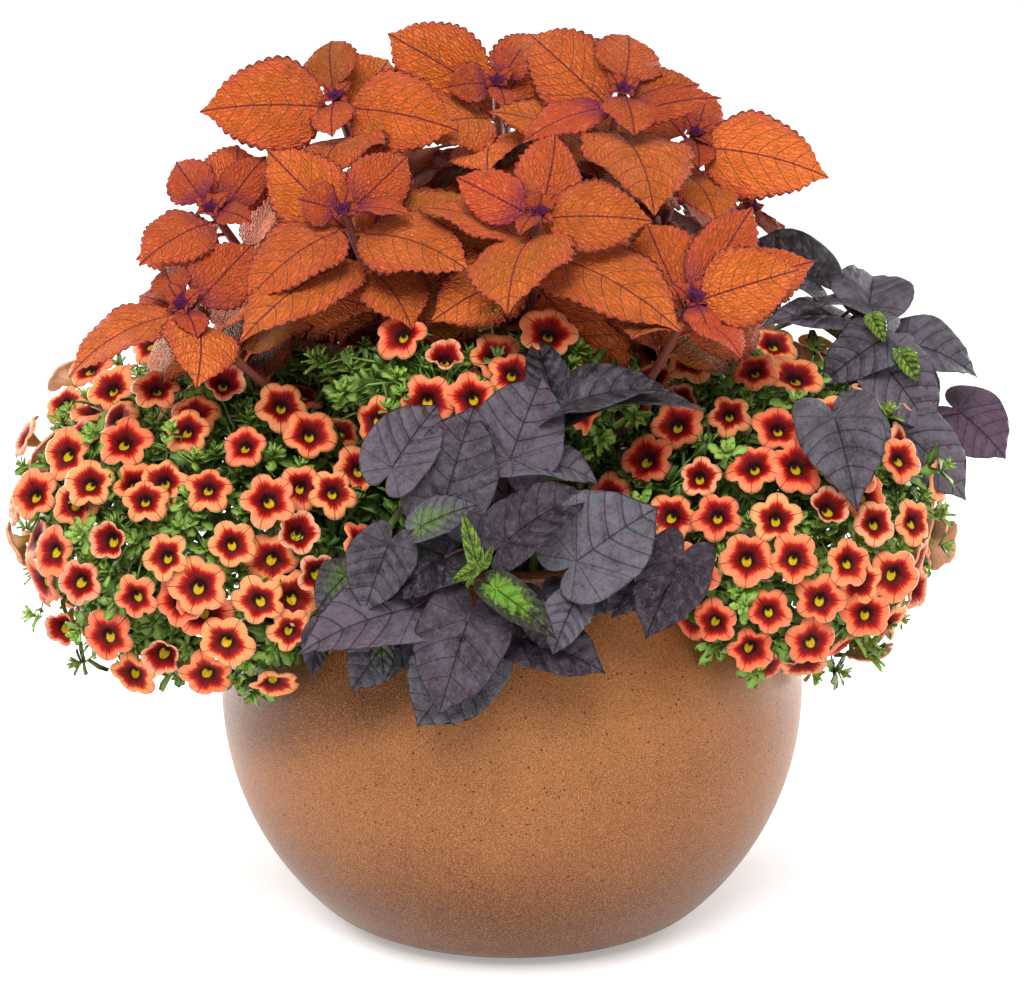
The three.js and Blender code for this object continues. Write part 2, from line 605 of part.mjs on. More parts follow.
const coleusSides = coleusStemSide / Math.SQRT2;
const allShoots = [...coleusShoots, ...ruledShoots];
allShoots.forEach((shoot, i) => {
  raiseStem(`coleus_shoot_${i + 1}`, coleusCurve(shoot), coleusSides, 4, 4);
});
const allRunners = [...vineRunners, ...ruledRunners];
for (const runner of allRunners) {
  raiseStem(`vine_runner_${runner.name}`, runnerCurve(runner), vineStemRadius, 3, 7);
}
for (const spray of sprays) {
  raiseStem(`calibrachoa_spray_${spray.name}`, sprayCurve(spray), sprayStemRadius, 3, 5);
}

// ---- pot and soil ----

const rimAngle = Math.asin((rimHeight - potWall / 2 - potCentreHeight) / potRadius);

// The stations of the pot's inner wall from rim to floor, for a wall of the given radius.
function innerWall(radius) {
  const floorAngle = Math.asin((potWall - potCentreHeight) / (potRadius - potWall));
  return Array.from({ length: innerSteps + 1 }, (_, i) => {
    const angle = rimAngle + ((floorAngle - rimAngle) * i) / innerSteps;
    return new THREE.Vector2(radius * Math.cos(angle), potCentreHeight + radius * Math.sin(angle));
  });
}

// The ball turns in below footTurnHeight to a smaller flat foot.
function potProfile(grow) {
  const outer = potRadius + grow;
  const points = [new THREE.Vector2(0, 0), new THREE.Vector2(potFootRadius + grow, 0)];
  points.push(new THREE.Vector2(footTurn.radius + grow, footTurn.height));
  const lowAngle = Math.asin((footTurnHeight - potCentreHeight) / potRadius);
  for (let i = 0; i <= outerSteps; i += 1) {
    const angle = lowAngle + ((rimAngle - lowAngle) * i) / outerSteps;
    points.push(new THREE.Vector2(outer * Math.cos(angle), potCentreHeight + potRadius * Math.sin(angle)));
  }
  const rimMiddle = (potRadius - potWall / 2) * Math.cos(rimAngle);
  for (const turn of [45, 135]) {
    const angle = THREE.MathUtils.degToRad(turn);
    points.push(new THREE.Vector2(rimMiddle + (potWall / 2 + grow) * Math.cos(angle),
      rimHeight - potWall / 2 + (potWall / 2 + grow) * Math.sin(angle)));
  }
  points.push(...innerWall(potRadius - potWall));
  points.push(new THREE.Vector2(0, potWall));
  return points;
}

function potSolid(grow) {
  let solid = turnedSolid(potProfile(grow), potSides);
  for (let i = 0; i < drainHoleCount; i += 1) {
    const hole = new THREE.CylinderGeometry(drainHoleRadius, drainHoleRadius, 4 * potWall, 8);
    hole.rotateX(Math.PI / 2);
    const angle = (2 * Math.PI * (i + 0.25)) / drainHoleCount;
    hole.translate(drainHoleDistance * Math.cos(angle), drainHoleDistance * Math.sin(angle), 0);
    solid = solid.subtract(solidOf(hole));
  }
  return solid;
}

// The soil fills the pot just inside its wall, and rises a little towards the middle.
function soilSolid() {
  const wall = innerWall(potRadius - potWall - gap * 2).reverse();
  const edgeHeight = soilHeight - soilRise;
  const below = wall.filter((point) => point.y < edgeHeight);
  const last = below[below.length - 1];
  const next = wall[below.length];
  const edge = last.clone().lerp(next, (edgeHeight - last.y) / (next.y - last.y));
  const points = [new THREE.Vector2(0, wall[0].y), ...below, edge];
  points.push(new THREE.Vector2(edge.x * 0.5, soilHeight));
  points.push(new THREE.Vector2(0, soilHeight + soilRise / 3));
  return turnedSolid(points, soilSides);
}

claim('pot', potSolid(0), potSolid(gap));
const soilSpace = soilSolid();
claim('soil', soilSpace, soilSpace);

// ---- leaves on the stems ----

const plants = new Map();

function growShoot(owner, leaves) {
  let { solid } = stems.get(owner);
  for (const leaf of leaves) {
    solid = solid.add(settleLeaf(owner, leaf, coleusEdge(leaf), coleusRib, coleusMoves).solid);
  }
  plants.set(owner, largestPiece(solid));
}

allShoots.forEach((shoot, i) => {
  const owner = `coleus_shoot_${i + 1}`;
  const stem = stems.get(owner);
  const isTall = shoot.apex[2] > innerLeafHeight;
  const leaves = shoot.leaves
    ? [...shoot.leaves.map((row) => shownColeusLeaf(shoot, stem, row)),
      ...ruledColeusLeaves(shoot, stem, i, isTall ? innerPairs : [], innerTurn(i))]
    : ruledColeusLeaves(shoot, stem, i, ruledPairs, shoot.turn);
  growShoot(owner, leaves);
});

// A vine leaf's stalk: a thin straight tube from the stem to the joint in the blade.
function vineStalk(from, leaf) {
  const inset = leaf.tip.clone().sub(leaf.root).normalize();
  return new THREE.LineCurve3(from, leaf.root.clone().addScaledVector(inset, stalkInset));
}

function growRunner(owner, leaves) {
  let { solid } = stems.get(owner);
  for (const { leaf, from } of leaves) {
    const stalkSolid = (moved, grow) => tubeSolid(vineStalk(from, moved), vineStalkRadius + 2 * grow, 3, 1);
    const settled = settleLeaf(owner, leaf, vineEdge(leaf), vineRib, vineMoves, stalkSolid);
    const stalk = cutClear(owner, stalkSolid(settled.moved, 0));
    claim(owner, stalk, stalkSolid(settled.moved, gap));
    solid = solid.add(settled.solid).add(stalk);
  }
  plants.set(owner, largestPiece(solid));
}

for (const runner of vineRunners) {
  const owner = `vine_runner_${runner.name}`;
  const stem = stems.get(owner);
  growRunner(owner, runner.leaves.map((row) => {
    const [x, y, z, right, up, near, width, lay, along] = row;
    const root = new THREE.Vector3(x, y, z);
    const tip = root.clone().add(seenPoint(right, up, near));
    const facing = lookFacing(lay, new THREE.Vector3(0, 0, 0));
    return { leaf: { root, tip, width, facing, ...vineShape },
      from: nearestOnLine(stem.stations, stem.curve.getPoint(along)).point };
  }));
}

ruledRunners.forEach((runner, index) => {
  const owner = `vine_runner_${runner.name}`;
  const stem = stems.get(owner);
  const leaves = [];
  for (let i = 0; i < runner.count; i += 1) {
    const along = 0.45 + (0.55 * (i + 0.5)) / runner.count;
    const from = nearestOnLine(stem.stations, stem.curve.getPoint(along)).point;
    const outward = new THREE.Vector3(from.x, from.y, 0).normalize();
    const sideways = new THREE.Vector3(-outward.y, outward.x, 0).multiplyScalar(i % 2 === 0 ? 1 : -1);
    const size = 46 + 16 * chance(index + 40, i);
    const root = from.clone().addScaledVector(outward, 22).addScaledVector(sideways, 20);
    root.z += 12;
    const tip = root.clone().addScaledVector(sideways, size * 0.55).addScaledVector(outward, size * 0.25);
    tip.z -= size * 0.75;
    const facing = outward.clone().add(new THREE.Vector3(0, 0, 0.5)).normalize();
    leaves.push({ leaf: { root, tip, width: size, facing, ...vineShape }, from });
  }
  growRunner(owner, leaves);
});

// ---- calibrachoa ----

function insideOutline(x, y, outline) {
  let inside = false;
  for (let i = 0, j = outline.length - 1; i < outline.length; j = i, i += 1) {
    const [xi, yi] = outline[i];
    const [xj, yj] = outline[j];
    if (yi > y !== yj > y && x < ((xj - xi) * (y - yi)) / (yj - yi) + xi) inside = !inside;
  }
  return inside;
}

// The point of a mound that shows at (right, up), looking along -look. Null well outside the mound.
function moundPoint(mound, right, up, view) {
  const start = view.across.clone().multiplyScalar(right).addScaledVector(view.over, up);
  const scaled = (v) => new THREE.Vector3(v.x / mound.radii[0], v.y / mound.radii[1], v.z / mound.radii[2]);
  const from = scaled(start.clone().sub(vector(mound.centre)));
  const way = scaled(view.look);
  const a = way.dot(way);
  const b = from.dot(way);
  const root = b * b - a * (from.dot(from) - 1);
  if (root < -missAllowed * a) return null;
  const distance = (-b + Math.sqrt(Math.max(root, 0))) / a;
  const point = start.addScaledVector(view.look, distance);
  const out = scaled(scaled(point.clone().sub(vector(mound.centre)))).normalize();
  return { point, out };
}

// Bloom places: an even scatter over the outline, each kept a spacing away from the ones before it.
function scatter(mound, outline, count, spacing, view, shift) {
  const xs = outline.map((p) => p[0]);
  const ys = outline.map((p) => p[1]);
  const [x0, y0] = [Math.min(...xs), Math.min(...ys)];
  const [x1, y1] = [Math.max(...xs), Math.max(...ys)];
  const found = [];
  for (let i = 1; i < 4000 && found.length < count; i += 1) {
    const right = x0 + (x1 - x0) * ((i * 0.7548776662 + shift) % 1);
    const up = y0 + (y1 - y0) * ((i * 0.569840291) % 1);
    const near = found.some((f) => Math.hypot(f.right - right, f.up - up) < spacing);
    const spot = near || !insideOutline(right, up, outline) ? null
      : moundPoint(mound, right, up, view);
    if (spot !== null) found.push({ right, up, ...spot });
  }
  return found;
}

const backAcross = new THREE.Vector3(-1, 0, 0);
const backOver = new THREE.Vector3(0, -Math.sin(viewTilt), Math.cos(viewTilt));
const backLook = new THREE.Vector3(0, Math.cos(viewTilt), Math.sin(viewTilt));

// The nearest place on the outer parts of the stems of the same mound.
function nearestStem(moundName, point) {
  let best = null;
  for (const spray of sprays.filter((s) => s.mound === moundName)) {
    const owner = `calibrachoa_spray_${spray.name}`;
    const found = nearestOnLine(stems.get(owner).stations.slice(2), point);
    if (best === null || found.distance < best.distance) best = { ...found, owner };
  }
  return best;
}

const starMoves = [0, 0.6, 1.2].flatMap((tilt) => [0, 5, -6, 11, -12, 17, -18, -25, 24]
  .map((shift) => ({ shift, tilt })));
const leastStalkTurn = 0.3;
const flowers = new Map(sprays.map((spray) => [`calibrachoa_spray_${spray.name}`, []]));

function growStar(moundName, spot, look, kind, index) {
  const jitter = new THREE.Vector3(chance(index, 1) - 0.5, chance(index, 2) - 0.5, chance(index, 3) - 0.5);
  const axis = spot.out.clone().multiplyScalar(0.7).addScaledVector(look, 0.6).addScaledVector(jitter, 0.5);
  axis.normalize();
  for (const { shift, tilt } of starMoves) {
    const centre = spot.point.clone().addScaledVector(spot.out, shift);
    const stem = nearestStem(moundName, centre.clone().addScaledVector(axis, -kind.neck));
    const away = centre.clone().sub(stem.point).normalize();
    const turned = axis.clone().addScaledVector(away, tilt).normalize();
    const stalkWay = centre.clone().addScaledVector(turned, -kind.neck).sub(stem.point).normalize();
    const star = { centre, axis: turned, root: stem.point, spin: 6.28 * chance(index, 4), ...kind };
    if (stalkWay.dot(turned) > leastStalkTurn && crossing(stem.owner, starSolid(star, 0), 8) === 0) {
      claim(stem.owner, starSolid(star, 0), starSolid(star, gap));
      flowers.get(stem.owner).push(starSolid(star, 0));
      return;
    }
  }
}

const bloom = { points: 5, lobe: bloomRadius, notch: bloomRadius * 0.84, lobeLift: -1.5, throat: 7,
  neck: bloomTube, stalk: bloomStalkRadius };
const tuft = { points: 3, lobe: 17, notch: 3.6, lobeLift: 5, throat: 0, neck: 7,
  stalk: bloomStalkRadius };

// The leafy core of a spray: a low-sided egg around the outer part of its stem.
function coreSolid(curve, scale, grow) {
  const start = curve.getPoint(coreStart);
  const way = curve.getPoint(1).sub(start);
  const geometry = new THREE.SphereGeometry(1, 6, 3);
  geometry.rotateX(Math.PI / 2);
  const radius = coreRadius * scale + grow;
  geometry.scale(radius, radius, (way.length() / 2) * scale + radius * 0.4);
  geometry.applyQuaternion(new THREE.Quaternion().setFromUnitVectors(new THREE.Vector3(0, 0, 1),
    way.clone().normalize()));
  const middle = start.addScaledVector(way, 0.5).lerp(curve.getPoint((1 + coreStart) / 2), 0.5);
  geometry.translate(middle.x, middle.y, middle.z);
  return solidOf(geometry);
}

for (const spray of sprays) {
  const owner = `calibrachoa_spray_${spray.name}`;
  const { curve } = stems.get(owner);
  const scale = coreScales.find((k) => crossing(owner, coreSolid(curve, k, 0), Infinity) === 0);
  if (scale) {
    claim(owner, coreSolid(curve, scale, 0), coreSolid(curve, scale, gap), true);
    flowers.get(owner).push(coreSolid(curve, scale, 0));
  }
}

const frontView = { across: rightward, over: upward, look: nearward };
const backView = { across: backAcross, over: backOver, look: backLook };
let starIndex = 0;

function growStars(name, mound, outline, view, kind, count, spacing, shift) {
  for (const spot of scatter(mound, outline, count, spacing, view, shift)) {
    starIndex += 1;
    growStar(name, spot, view.look, kind, starIndex);
  }
}

for (const [name, mound] of Object.entries(mounds)) {
  growStars(name, mound, mound.front, frontView, bloom, mound.frontCount, bloomSpacing, 0.2);
  growStars(name, mound, backBand, backView, bloom, mound.backCount, backSpacing, 0.4);
}
for (const [name, mound] of Object.entries(mounds)) {
  growStars(name, mound, mound.front, frontView, tuft, mound.frontTufts, tuftSpacing, 0.7);
  growStars(name, mound, backBand, backView, tuft, mound.backTufts, tuftSpacing, 0.9);
}

for (const spray of sprays) {
  const owner = `calibrachoa_spray_${spray.name}`;
  let { solid } = stems.get(owner);
  for (const flower of flowers.get(owner)) solid = solid.add(flower);
  plants.set(owner, largestPiece(solid));
}

// ---- the planter ----

const planter = new THREE.Group();

function addPart(name, solid, colour, roughness) {
  const material = new THREE.MeshStandardMaterial({ color: colour, roughness, metalness: 0 });
  const mesh = new THREE.Mesh(geometryOf(solid), material);
  mesh.name = name;
  planter.add(mesh);
}

addPart('pot', potSolid(0), colours.pot, 0.3);

// The plain hole that a stem stands in, along the stem's first stretch.
function stemHole({ stations, radius }) {
  const way = stations[1].clone().sub(stations[0]).normalize();
  const holeRadius = (radius + 2 * gap) * Math.SQRT2;
  const hole = new THREE.CylinderGeometry(holeRadius, holeRadius, 3 * rootDepth, 4);
  hole.applyQuaternion(new THREE.Quaternion().setFromUnitVectors(new THREE.Vector3(0, 1, 0), way));
  const slant = radius * Math.sqrt(1 - way.z ** 2);
  const middle = stations[0].clone().addScaledVector(way, 1.5 * rootDepth - gap - slant);
  hole.translate(middle.x, middle.y, middle.z);
  return solidOf(hole);
}

let soil = soilSpace;
for (const stem of stems.values()) soil = soil.subtract(stemHole(stem));
addPart('soil', largestPiece(soil), colours.soil, 0.95);
for (const [owner, solid] of plants) {
  addPart(owner, solid, colours[owner.split('_')[0]], 0.6);
}
export default planter;
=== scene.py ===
import math
import bpy
import numpy as np
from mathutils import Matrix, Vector
from mathutils.kdtree import KDTree


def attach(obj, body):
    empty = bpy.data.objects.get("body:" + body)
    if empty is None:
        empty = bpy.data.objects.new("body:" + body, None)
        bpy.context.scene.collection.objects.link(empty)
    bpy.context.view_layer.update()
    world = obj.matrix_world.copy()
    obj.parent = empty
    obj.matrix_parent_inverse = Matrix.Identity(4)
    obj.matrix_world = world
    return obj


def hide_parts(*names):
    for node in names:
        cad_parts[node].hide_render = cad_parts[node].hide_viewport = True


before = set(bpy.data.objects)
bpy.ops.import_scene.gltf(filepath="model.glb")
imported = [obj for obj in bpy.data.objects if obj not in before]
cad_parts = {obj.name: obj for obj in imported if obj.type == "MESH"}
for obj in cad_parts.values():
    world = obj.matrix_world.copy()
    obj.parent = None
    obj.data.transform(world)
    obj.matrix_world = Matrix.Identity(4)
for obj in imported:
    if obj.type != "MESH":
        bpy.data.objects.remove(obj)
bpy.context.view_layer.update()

# A ball-shaped pot planted with coleus, sweet potato vine and calibrachoa.
# Every shape is worked out in millimetres and put into its mesh in metres.
random = np.random.default_rng(24)


def unit(v):  # v over its own length
    v = np.asarray(v, float)
    return v / np.maximum(np.linalg.norm(v, axis=-1, keepdims=True), 1e-9)


def chance(index, channel):  # the fraction left of a steep sine, so a pair of numbers always gives the same one
    wave = np.sin(index * 12.9898 + channel * 78.233) * 43758.5453
    return wave - np.floor(wave)


def chanceWay(index):
    return np.array([chance(index, k) for k in (1, 2, 3)])


def smooth(low, high, value):  # 0 below low, 1 above high, 3s^2 - 2s^3 between
    s = np.clip((value - low) / (high - low), 0, 1)
    return s * s * (3 - 2 * s)


def fullTurn(sides):
    return np.linspace(0, 2 * math.pi, sides, endpoint=False)


def turnedWay(angle, across, over):  # across cos a + over sin a, for one angle or for an array of them
    angle = np.asarray(angle)[..., None]
    return np.cos(angle) * across + np.sin(angle) * over


# The frame of a viewer in front, who looks down at the camera's elevation.
camera = {"target": (0, 0, 0.297), "distance": 2.6, "elevation": 15, "lens": 134.05, "sensor": 36,
          "farClip": 100}
viewTilt = math.radians(camera["elevation"])
rightward = np.array([1.0, 0, 0])
upward = np.array([0, math.sin(viewTilt), math.cos(viewTilt)])
nearward = np.array([0, -math.cos(viewTilt), math.sin(viewTilt)])


def seenPoint(right, up, near):
    return rightward * right + upward * up + nearward * near


# What each point of a shape carries, as one array (shapes, rings, around, 12): its place, its UV, its place on
# its own leaf in cm, its nature (what its material paints by) and its rib number.
placeAt, uvAt, leafAt, natureAt, ribAt = slice(0, 3), slice(3, 5), slice(5, 8), slice(8, 11), slice(11, 12)


def carried(shape, place, uv=(0, 0), leaf=(0, 0, 0), nature=(0, 0, 0), rib=0.0):
    channels = np.zeros((*shape, ribAt.stop))
    channels[..., placeAt] = place
    for k, value in enumerate((*uv, *leaf, *nature, rib), uvAt.start):
        channels[..., k] = value
    return channels


# Rings joined one to the next, with a point at each end.
# Quads join (i, j), (i, j+1), (i+1, j+1), (i+1, j); each end fans to the mean of its ring.
def closedSurfaces(channels, material=0):
    count, rows, around = channels.shape[:3]
    ends = np.stack([channels[:, 0].mean(1), channels[:, -1].mean(1)], 1)
    flat = np.concatenate([channels.reshape(count, rows * around, -1), ends], 1)
    index = np.arange(rows * around).reshape(rows, around)
    onward = np.roll(index, -1, axis=1)
    quads = np.stack([index[:-1], onward[:-1], onward[1:], index[1:]], -1).reshape(-1, 4)
    first = np.full(around, rows * around)
    tris = np.concatenate([np.stack([onward[0], index[0], first], -1),
                           np.stack([index[-1], onward[-1], first + 1], -1)])
    every = np.concatenate([quads[:, :3], quads[:, [0, 2, 3]], tris])
    a, b, c = (flat[0, every[:, k], placeAt] - flat[0, 0, placeAt] for k in range(3))
    if np.einsum("ij,ij->i", a, np.cross(b, c)).sum() < 0:  # a volume below 0 means inside out
        quads, tris = quads[:, ::-1], tris[:, ::-1]
    step = (np.arange(count) * flat.shape[1])[:, None, None]
    return {"points": flat.reshape(-1, channels.shape[-1]), "material": material,
            "quads": (quads[None] + step).reshape(-1, 4), "tris": (tris[None] + step).reshape(-1, 3)}


def addObject(name, data):
    made = bpy.data.objects.new(name, data)
    bpy.context.scene.collection.objects.link(made)
    return made


def store(block, key, values, kind=np.float32):
    block.foreach_set(key, values.astype(kind).ravel())


def makePiece(name, patches, materials=(), node=None):
    starts = np.cumsum([0] + [len(p["points"]) for p in patches])
    points = np.concatenate([p["points"] for p in patches])
    quads, tris = (np.concatenate([p[k] + s for p, s in zip(patches, starts)]) for k in ("quads", "tris"))
    skins = np.concatenate([np.full(len(p[k]), p["material"]) for k in ("quads", "tris") for p in patches])
    corners = np.concatenate([quads.ravel(), tris.ravel()])
    loopStarts = np.concatenate([np.arange(len(quads)) * 4, quads.size + np.arange(len(tris)) * 3])
    mesh = bpy.data.meshes.new(name)
    mesh.vertices.add(len(points))
    store(mesh.vertices, "co", points[:, placeAt] * 0.001)
    mesh.loops.add(len(corners))
    store(mesh.loops, "vertex_index", corners, np.int32)
    mesh.polygons.add(len(skins))
    store(mesh.polygons, "loop_start", loopStarts, np.int32)
    store(mesh.polygons, "material_index", skins, np.int32)
    store(mesh.polygons, "use_smooth", np.ones(len(skins)), bool)
    store(mesh.uv_layers.new(name="UVMap").uv, "vector", points[corners, uvAt])
    for key, kind, value, part in (("leafPlace", "FLOAT_VECTOR", "vector", leafAt),
                                   ("nature", "FLOAT_VECTOR", "vector", natureAt),
                                   ("ribPlace", "FLOAT", "value", ribAt)):
        store(mesh.attributes.new(key, kind, "POINT").data, value, points[:, part])
    mesh.update(calc_edges=True)
    for material in materials:
        mesh.materials.append(material)
    piece = addObject(name, mesh)
    if node is not None:
        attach(piece, "root")
        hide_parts(node)
    return piece


# Material nodes. A Wire is a node's output, to reckon with as with a number.
class Wire:
    def __init__(self, socket):
        self.socket, self.tree = socket, socket.id_data

    def __add__(self, other):
        return calc("ADD", self, other)

    def __sub__(self, other):
        return calc("SUBTRACT", self, other)

    def __rsub__(self, other):
        return calc("SUBTRACT", other, self)

    def __mul__(self, other):
        return calc("MULTIPLY", self, other)

    def __abs__(self):
        return calc("ABSOLUTE", self)


def feed(socket, value):
    if isinstance(value, Wire):
        value.tree.links.new(value.socket, socket)
    else:
        socket.default_value = value


def addNode(tree, kind, inputs, output=0, **settings):
    made = tree.nodes.new(f"ShaderNode{kind}")
    for key, value in settings.items():
        setattr(made, key, value)
    for key, value in inputs.items():
        feed(made.inputs[key], value)
    return Wire(made.outputs[output])


def calc(operation, *values):
    tree = next(value.tree for value in values if isinstance(value, Wire))
    return addNode(tree, "Math", dict(enumerate(values)), operation=operation)


def hypotenuse(x, y):
    return calc("SQRT", x * x + y * y)


def band(value, low, high, toLow=0.0, toHigh=1.0):  # a smooth step from toLow at low to toHigh at high
    return addNode(value.tree, "MapRange", {"Value": value, "From Min": low, "From Max": high, "To Min": toLow,
                                            "To Max": toHigh}, interpolation_type="SMOOTHSTEP")


def paint(red, green, blue):  # a screen colour from 0 to 255, made linear
    c = np.array([red, green, blue]) / 255
    return (*np.where(c <= 0.04045, c / 12.92, ((c + 0.055) / 1.055) ** 2.4), 1.0)


def blend(amount, under, over):
    under, over = (c if isinstance(c, Wire) else paint(*c) for c in (under, over))
    return addNode(amount.tree, "Mix", {0: amount, 6: under, 7: over}, 2, data_type="RGBA")


def layered(colour, *layers):  # each layer is how much of it shows, and its colour
    for amount, over in layers:
        colour = blend(amount, colour, over)
    return colour


def field(tree, name, output="Vector"):
    return addNode(tree, "Attribute", {}, output, attribute_name=name)


def objectPlace(tree):
    return addNode(tree, "TexCoord", {}, "Object")


def parts(vector):  # its x, y and z
    split = addNode(vector.tree, "SeparateXYZ", {0: vector}).socket.node
    return [Wire(socket) for socket in split.outputs]


def uvParts(tree):
    return parts(addNode(tree, "UVMap", {}, uv_map="UVMap"))[:2]


def combine(x, y, z):
    return addNode(x.tree, "CombineXYZ", {0: x, 1: y, 2: z})


def stretch(vector, scale):
    return addNode(vector.tree, "Mapping", {"Vector": vector, "Scale": scale})


def noise(vector, scale, detail=3.0, roughness=0.55):
    return addNode(vector.tree, "TexNoise", {"Vector": vector, "Scale": scale, "Detail": detail,
                                             "Roughness": roughness})


def cells(vector, scale, feature="DISTANCE_TO_EDGE"):
    return addNode(vector.tree, "TexVoronoi", {"Vector": vector, "Scale": scale}, feature=feature)


def newMaterial(name, **shaderValues):
    material = bpy.data.materials.new(name)
    material.use_nodes = True
    for key, value in shaderValues.items():
        material.node_tree.nodes["Principled BSDF"].inputs[key.replace("_", " ")].default_value = value
    return material, material.node_tree


def dress(material, colour, height=None, depth=0.0, strength=1.0, roughness=None):
    inputs = material.node_tree.nodes["Principled BSDF"].inputs
    feed(inputs["Base Color"], colour)
    if height is not None:
        feed(inputs["Normal"], addNode(height.tree, "Bump", {"Height": height, "Distance": depth,
                                                             "Strength": strength}))
    if roughness is not None:
        feed(inputs["Roughness"], roughness)
    return material


# Camera, floor and light.
studio = {"world": 0.48, "sun": 3.1, "sunTurn": (40, -8, 0), "sunSize": 35, "boxPower": 24,
          "boxPlace": (1.2, 0.9, 0.34), "boxSize": (0.6, 1.1), "boxTarget": (0, 0, 0.25), "floorGlow": 0.3,
          "floorReach": 30}


def aim(thing, place, target):
    thing.location = place
    thing.rotation_euler = (Vector(target) - thing.location).to_track_quat("-Z", "Y").to_euler()


def placeCamera():
    data = bpy.data.cameras.new("camera")
    data.lens, data.sensor_width, data.clip_end = camera["lens"], camera["sensor"], camera["farClip"]
    eye = addObject("camera", data)
    aim(eye, Vector(camera["target"]) + Vector(nearward) * camera["distance"], camera["target"])
    bpy.context.scene.camera = eye


def lightStudio():
    world = bpy.data.worlds.new("studio")
    world.use_nodes = True
    world.node_tree.nodes["Background"].inputs["Color"].default_value = (1, 1, 1, 1)
    world.node_tree.nodes["Background"].inputs["Strength"].default_value = studio["world"]
    bpy.context.scene.world = world
    bpy.context.scene.view_settings.view_transform = "Standard"
    sun = bpy.data.lights.new("sun", "SUN")
    sun.energy, sun.angle = studio["sun"], math.radians(studio["sunSize"])
    addObject("sun", sun).rotation_euler = [math.radians(a) for a in studio["sunTurn"]]
    for name, side in (("leftBox", -1), ("rightBox", 1)):
        box = bpy.data.lights.new(name, "AREA")
        box.shape, box.energy = "RECTANGLE", studio["boxPower"]
        box.size, box.size_y = studio["boxSize"]
        aim(addObject(name, box), Vector(studio["boxPlace"]) * Vector((side, 1, 1)), studio["boxTarget"])


def layFloor():
    reach = studio["floorReach"]
    mesh = bpy.data.meshes.new("floor")
    mesh.from_pydata([(-reach, -reach, 0), (reach, -reach, 0), (reach, reach, 0), (-reach, reach, 0)], [],
                     [(0, 1, 2, 3)])
    material, tree = newMaterial("floorPaper", Roughness=0.9, Emission_Color=(1, 1, 1, 1),
                                 Emission_Strength=studio["floorGlow"])
    shade = band(noise(objectPlace(tree), 0.8), 0.3, 0.7)
    mesh.materials.append(dress(material, blend(shade, (240, 240, 240), (236, 236, 236))))
    addObject("floor", mesh)


placeCamera()
lightStudio()
layFloor()
print("stage set")

pot = {"radius": 200, "centreHeight": 160, "wall": 13, "rim": 285, "foot": 98, "footTurn": 16,
       "footBulge": [-14.5, -14], "sides": 144, "holes": 3, "holeRadius": 9, "holeDistance": 48, "crease": 40}
soil = {"height": 262, "crown": 2, "fall": 8, "rise": 6, "clearance": 0.8, "rings": 56, "sides": 110,
        "rough": 1.1, "sideFoot": 200, "underside": [[150, 190], [60, 190], [2, 190]]}


def glaze():
    material, tree = newMaterial("copperGlaze", Specular_IOR_Level=0.13, Coat_Weight=0.15, Coat_Roughness=0.12)
    spot = objectPlace(tree)
    x, _, height = parts(spot)
    mottle = noise(spot, 11, 5, 0.6)
    runs = noise(stretch(spot, (70, 70, 5)), 1.0, 4, 0.6)
    grain = noise(spot, 1250, 2, 0.9)
    level = height + (mottle - 0.5) * 0.02
    # the level of the painted shadow of the foliage, falling away to the right so the shadow comes lower on the
    # left
    foliageShadowLevel = level - x * 0.5
    pits = band(cells(spot, 190, "F1"), 0.2, 0.09) * band(noise(spot, 60, 2), 0.46, 0.56)
    crumbs = band(cells(spot, 260, "F1"), 0.22, 0.14) * (
        band(noise(spot, 16, 2), 0.60, 0.70) * band(height, 0.2, 0.24))
    colour = layered(
        blend(band(mottle, 0.3, 0.7), (142, 86, 44), (154, 97, 52)),
        # painted shade: darker towards the bottom of the pot
        (band(level, 0.13, 0.03), (86, 42, 10)),
        # painted light: the upper part of the pot lighter, as if lit more from the front
        (band(level, 0.15, 0.19, 0, 0.5), (178, 116, 66)),
        # painted shadow of the foliage on the top of the pot
        (band(foliageShadowLevel, 0.21, 0.25), (100, 56, 24)),
        (band(runs, 0.5, 0.8, 0, 0.3), (118, 72, 44)),
        (band(grain, 0.52, 0.62, 0, 0.65), (198, 140, 90)),
        (band(grain, 0.48, 0.38, 0, 0.75), (78, 42, 18)),
        (band(noise(spot, 1300, 1), 0.55, 0.35, 0, 0.25), (96, 58, 34)),
        (pits * 0.85, (58, 34, 22)),
        (crumbs, (214, 204, 188)),
        (band(height, 0.006, 0.001, 0, 0.7), (112, 92, 70)))
    return dress(material, colour, grain * 0.5 - pits, 0.0006, 0.7, band(mottle, 0.25, 0.75, 0.28, 0.4))


def earth():
    material, tree = newMaterial("pottingSoil", Roughness=0.95)
    spot = objectPlace(tree)
    grain = noise(spot, 420, 4, 0.7)
    colour = layered(blend(grain, (30, 20, 14), (92, 66, 46)),
                     (band(noise(spot, 150, 1), 0.68, 0.74), (205, 198, 186)))
    return dress(material, colour, cells(spot, 190, "F1") + grain, 0.003)


# A profile turned about the upright axis: (r cos a, r sin a, z) for each [r, z] and each angle a.
def turned(profile, sides):
    r, z, angle = profile[:, :1], profile[:, 1:], fullTurn(sides)
    place = np.stack([r * np.cos(angle), r * np.sin(angle), z + 0 * angle], -1)
    return carried((1, *place.shape[:2]), place)


def arc(radius, start, end, count, middle):  # [r, z] round a circle about its middle
    return middle + radius * turnedWay(np.linspace(start, end, count), np.array([1, 0]), np.array([0, 1]))


